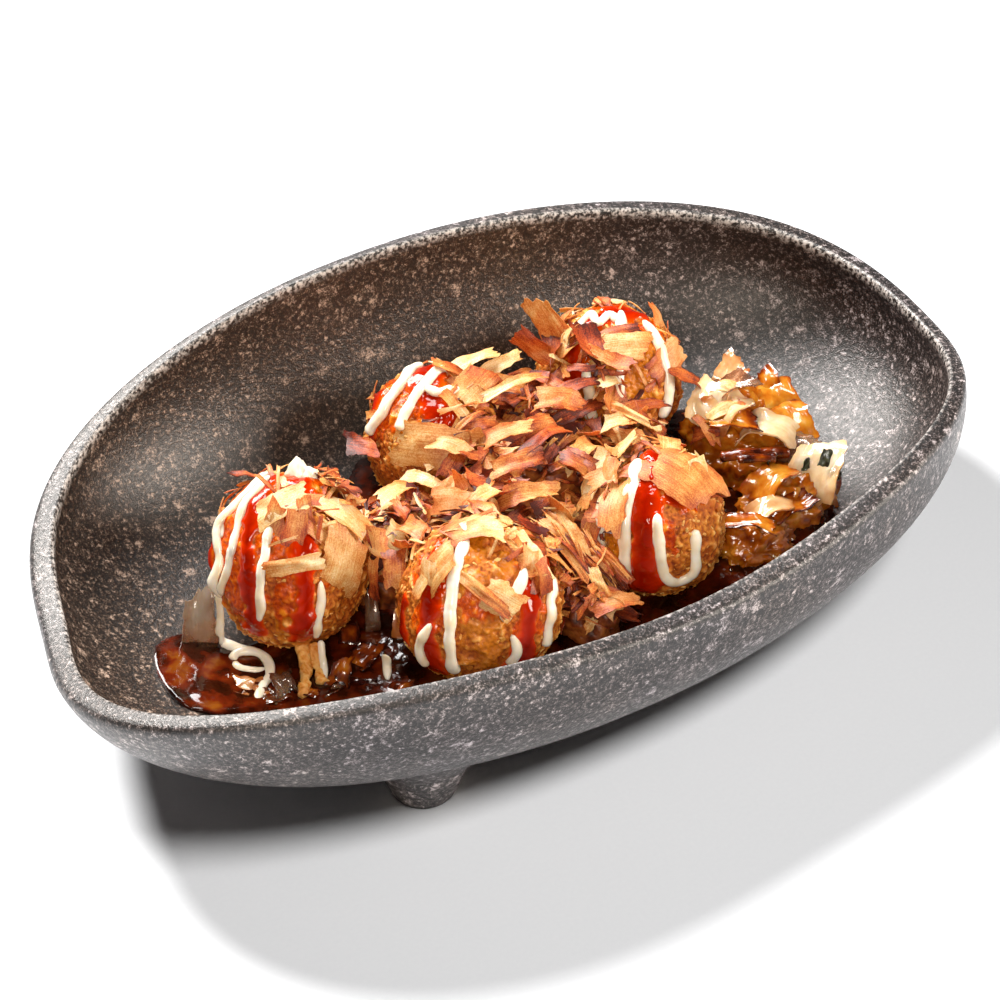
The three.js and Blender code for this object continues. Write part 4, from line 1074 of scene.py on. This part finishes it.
def makeGlazed(skin, wet):
    # a bed with two rolled shavings, large petals, small ones between them and scraps of seaweed
    g = glazed
    shape = bmesh.new()
    addLumps(shape, g)
    toneLayer = shape.verts.layers.float.new("tone")
    fibreLayer = shape.verts.layers.float_vector.new("fibre")
    for vert in shape.verts:
        vert[toneLayer] = g["bedTone"]
    for half, knots in g["rolls"]:
        line = smoothLine([Vector(knot) for knot in knots], 30)[0]
        addRope(shape, line, [upward] * 30, half, flat=0.9, tips=(0.8, 0.8))
    for vert in shape.verts:
        vert[toneLayer] = vert[toneLayer] or g["rollTone"]
        vert[fibreLayer] = vert.co
    bmesh.ops.recalc_face_normals(shape, faces=shape.faces)
    makePiece("glazed_bed", shape, wet["amber"], "glazed_heap")
    draw = random.Random(g["seed"])
    targets = {kind: startSheets() for kind in wet}
    for x, y, z, length, width, turn, lean, kind, tone in g["petals"]:
        addPetal(targets[kind], draw, (x, y, z), (length, width), turn, lean, tone,
                 draw.uniform(*g["petalBow"]), (16, 10))
    made = 0
    while made < g["small"]:
        lump = draw.choice(g["lumps"])
        hit, normal = dropOn(skin, draw, lump, g["reach"])
        if hit is None or hit.z < g["lowest"]:
            continue
        made += 1
        low = (lump[4] - hit.z) / (lump[4] - g["bottom"])
        kind = draw.choice(["amber", "pale", "pale", "clear"] if low < 0.5 else
                           ["amber", "amber", "pale", "pale"])
        heading = Vector((draw.uniform(-1, 1), draw.uniform(-1, 1), draw.uniform(-0.2, 0.6)))
        heading = (heading - normal * heading.dot(normal) * 0.7).normalized()
        face = (normal - heading * normal.dot(heading)).normalized()
        length = draw.uniform(*g["smallLength"])
        addSheet(*targets[kind], draw, hit + normal * draw.uniform(0.2, 2.4), heading, face, length,
                 length * draw.uniform(*g["smallWidth"]), draw.uniform(0.3, 0.85) - 0.25 * low,
                 bow=draw.uniform(*g["smallBow"]), taper=draw.uniform(0, 0.6), twist=draw.uniform(-0.6, 0.6),
                 slope=draw.uniform(-0.2, 0.2), cup=0.5, wave=0.9, ragged=0.22, cells=(9, 5))
    for kind, (sheets, _) in targets.items():
        closeSheets("glazed_" + kind + "_petals", sheets, wet[kind], "glazed_heap", g["thick"])
    scraps = startSheets()
    for x, y, z, length, width, turn in g["nori"]:
        addPetal(scraps, draw, (x, y, z), (length, width), turn, g["noriLean"], 0.5, 30, (6, 4))
    closeSheets("nori_scraps", scraps[0], noriMaterial(), "glazed_heap", g["noriThick"])


# small shavings on a ball: over which degrees, sizes in millimetres, the width a share of the length for
# sheets, and lean in degrees
loose = {
    "across": 0.85, "degrees": (-85, 38), "length": (4, 9.5), "sheetShare": 0.45, "sheetWidth": (0.35, 0.7),
    "shredWidth": (0.4, 1.3), "lean": (2, 30), "thick": 0.16,
}


def dressBall(name, ball, skin, cream, shavings):
    # mayonnaise and shavings on one ball
    shape = bmesh.new()
    for half, trail, *tip in ball["mayo"]:
        ropeOnBall(shape, ball, skin, half, trail, *tip)
    for across, degrees, wide, tall, peak in ball.get("blobs", []):
        spot = onBall(ball, across, degrees, 0.6)
        out = (spot - Vector(ball["at"])).normalized()
        addBlob(shape, spot, (out + upward * 0.5).normalized(), wide, tall, peak)
    bmesh.ops.recalc_face_normals(shape, faces=shape.faces)
    makePiece(name + "_mayonnaise", shape, cream, name)
    draw = random.Random(ball["seed"])
    shape, layers = startSheets()
    for flake in ball["flakes"]:
        ballSheet(shape, layers, draw, ball, skin, flake[:6], flake[6], wave=0.9, ragged=0.16,
                  cup=-0.4 * flake[3] / ball["radius"], slope=draw.uniform(-0.25, 0.25), cells=(16, 10))
    made = 0
    while made < ball["loose"]:
        sheet = draw.random() < loose["sheetShare"]
        across = draw.uniform(-loose["across"], loose["across"]) * ball["radius"]
        length = draw.uniform(*loose["length"])
        width = length * draw.uniform(*loose["sheetWidth"]) if sheet else draw.uniform(*loose["shredWidth"])
        degrees = draw.uniform(*loose["degrees"])
        turn, lean = draw.uniform(0, 180), draw.uniform(*loose["lean"])
        seat = onBall(ball, across, degrees)
        if any((seat - onBall(ball, *bare[:2])).length < bare[2] for bare in ball["bare"]):
            continue
        made += 1
        ballSheet(shape, layers, draw, ball, skin, (across, degrees, length, width, turn, lean),
                  draw.uniform(0.4, 0.95), ragged=0.22, cup=draw.uniform(-0.3, 0.5),
                  slope=draw.uniform(-0.2, 0.2))
    closeSheets(name + "_shavings", shape, shavings, name, loose["thick"])


# ramps of the wet shavings' colours, how clear they are and how rough
wetKinds = {
    "amber": ("sauceSoakedShaving", [(0.1, "#34100a"), (0.28, "#7a2e08"), (0.46, "#b8600e"), (0.7, "#d6902e"),
                                     (1.0, "#eec680")], 0.15, 0.16),
    "pale": ("sauceWetCreamShaving", [(0.1, "#a8602c"), (0.4, "#d6a06a"), (0.7, "#e8c296"),
                                      (1.0, "#f2dcc0")], 0.08, 0.2),
    "clear": ("thinWetShaving", [(0.1, "#8a5236"), (0.5, "#c09a7c"), (1.0, "#dccbb8")], 0.72, 0.2),
}


def main():
    makeView()
    dishPiece = makeDish()
    print("dish made")
    crust = crustMaterial()
    cream = creamMaterial()
    shavings = shavingMaterial()
    wet = {kind: wetMaterial(*settings) for kind, settings in wetKinds.items()}
    crusts, skins = [], {}
    for name, ball in balls.items():
        piece, dry = makeBall(name, ball, crust)
        crusts.append(piece)
        skins[name] = skinTree([piece])
        scatterCrumbs(name, ball, dry, crust)
    print("crusts made")
    for name, ball in balls.items():
        dressBall(name, ball, skins[name], cream, shavings)
    print("mayonnaise and shavings on the balls made")
    bed = makeHeap()
    scatterHeap(skinTree([bed] + crusts), shavings)
    print("heap made")
    poolPiece = makePool(skinTree([dishPiece]))
    makePoolThings(wet, cream, crust)
    makeGlazed(skinTree([poolPiece]), wet)
    print("glazed heap and pool made")


main()
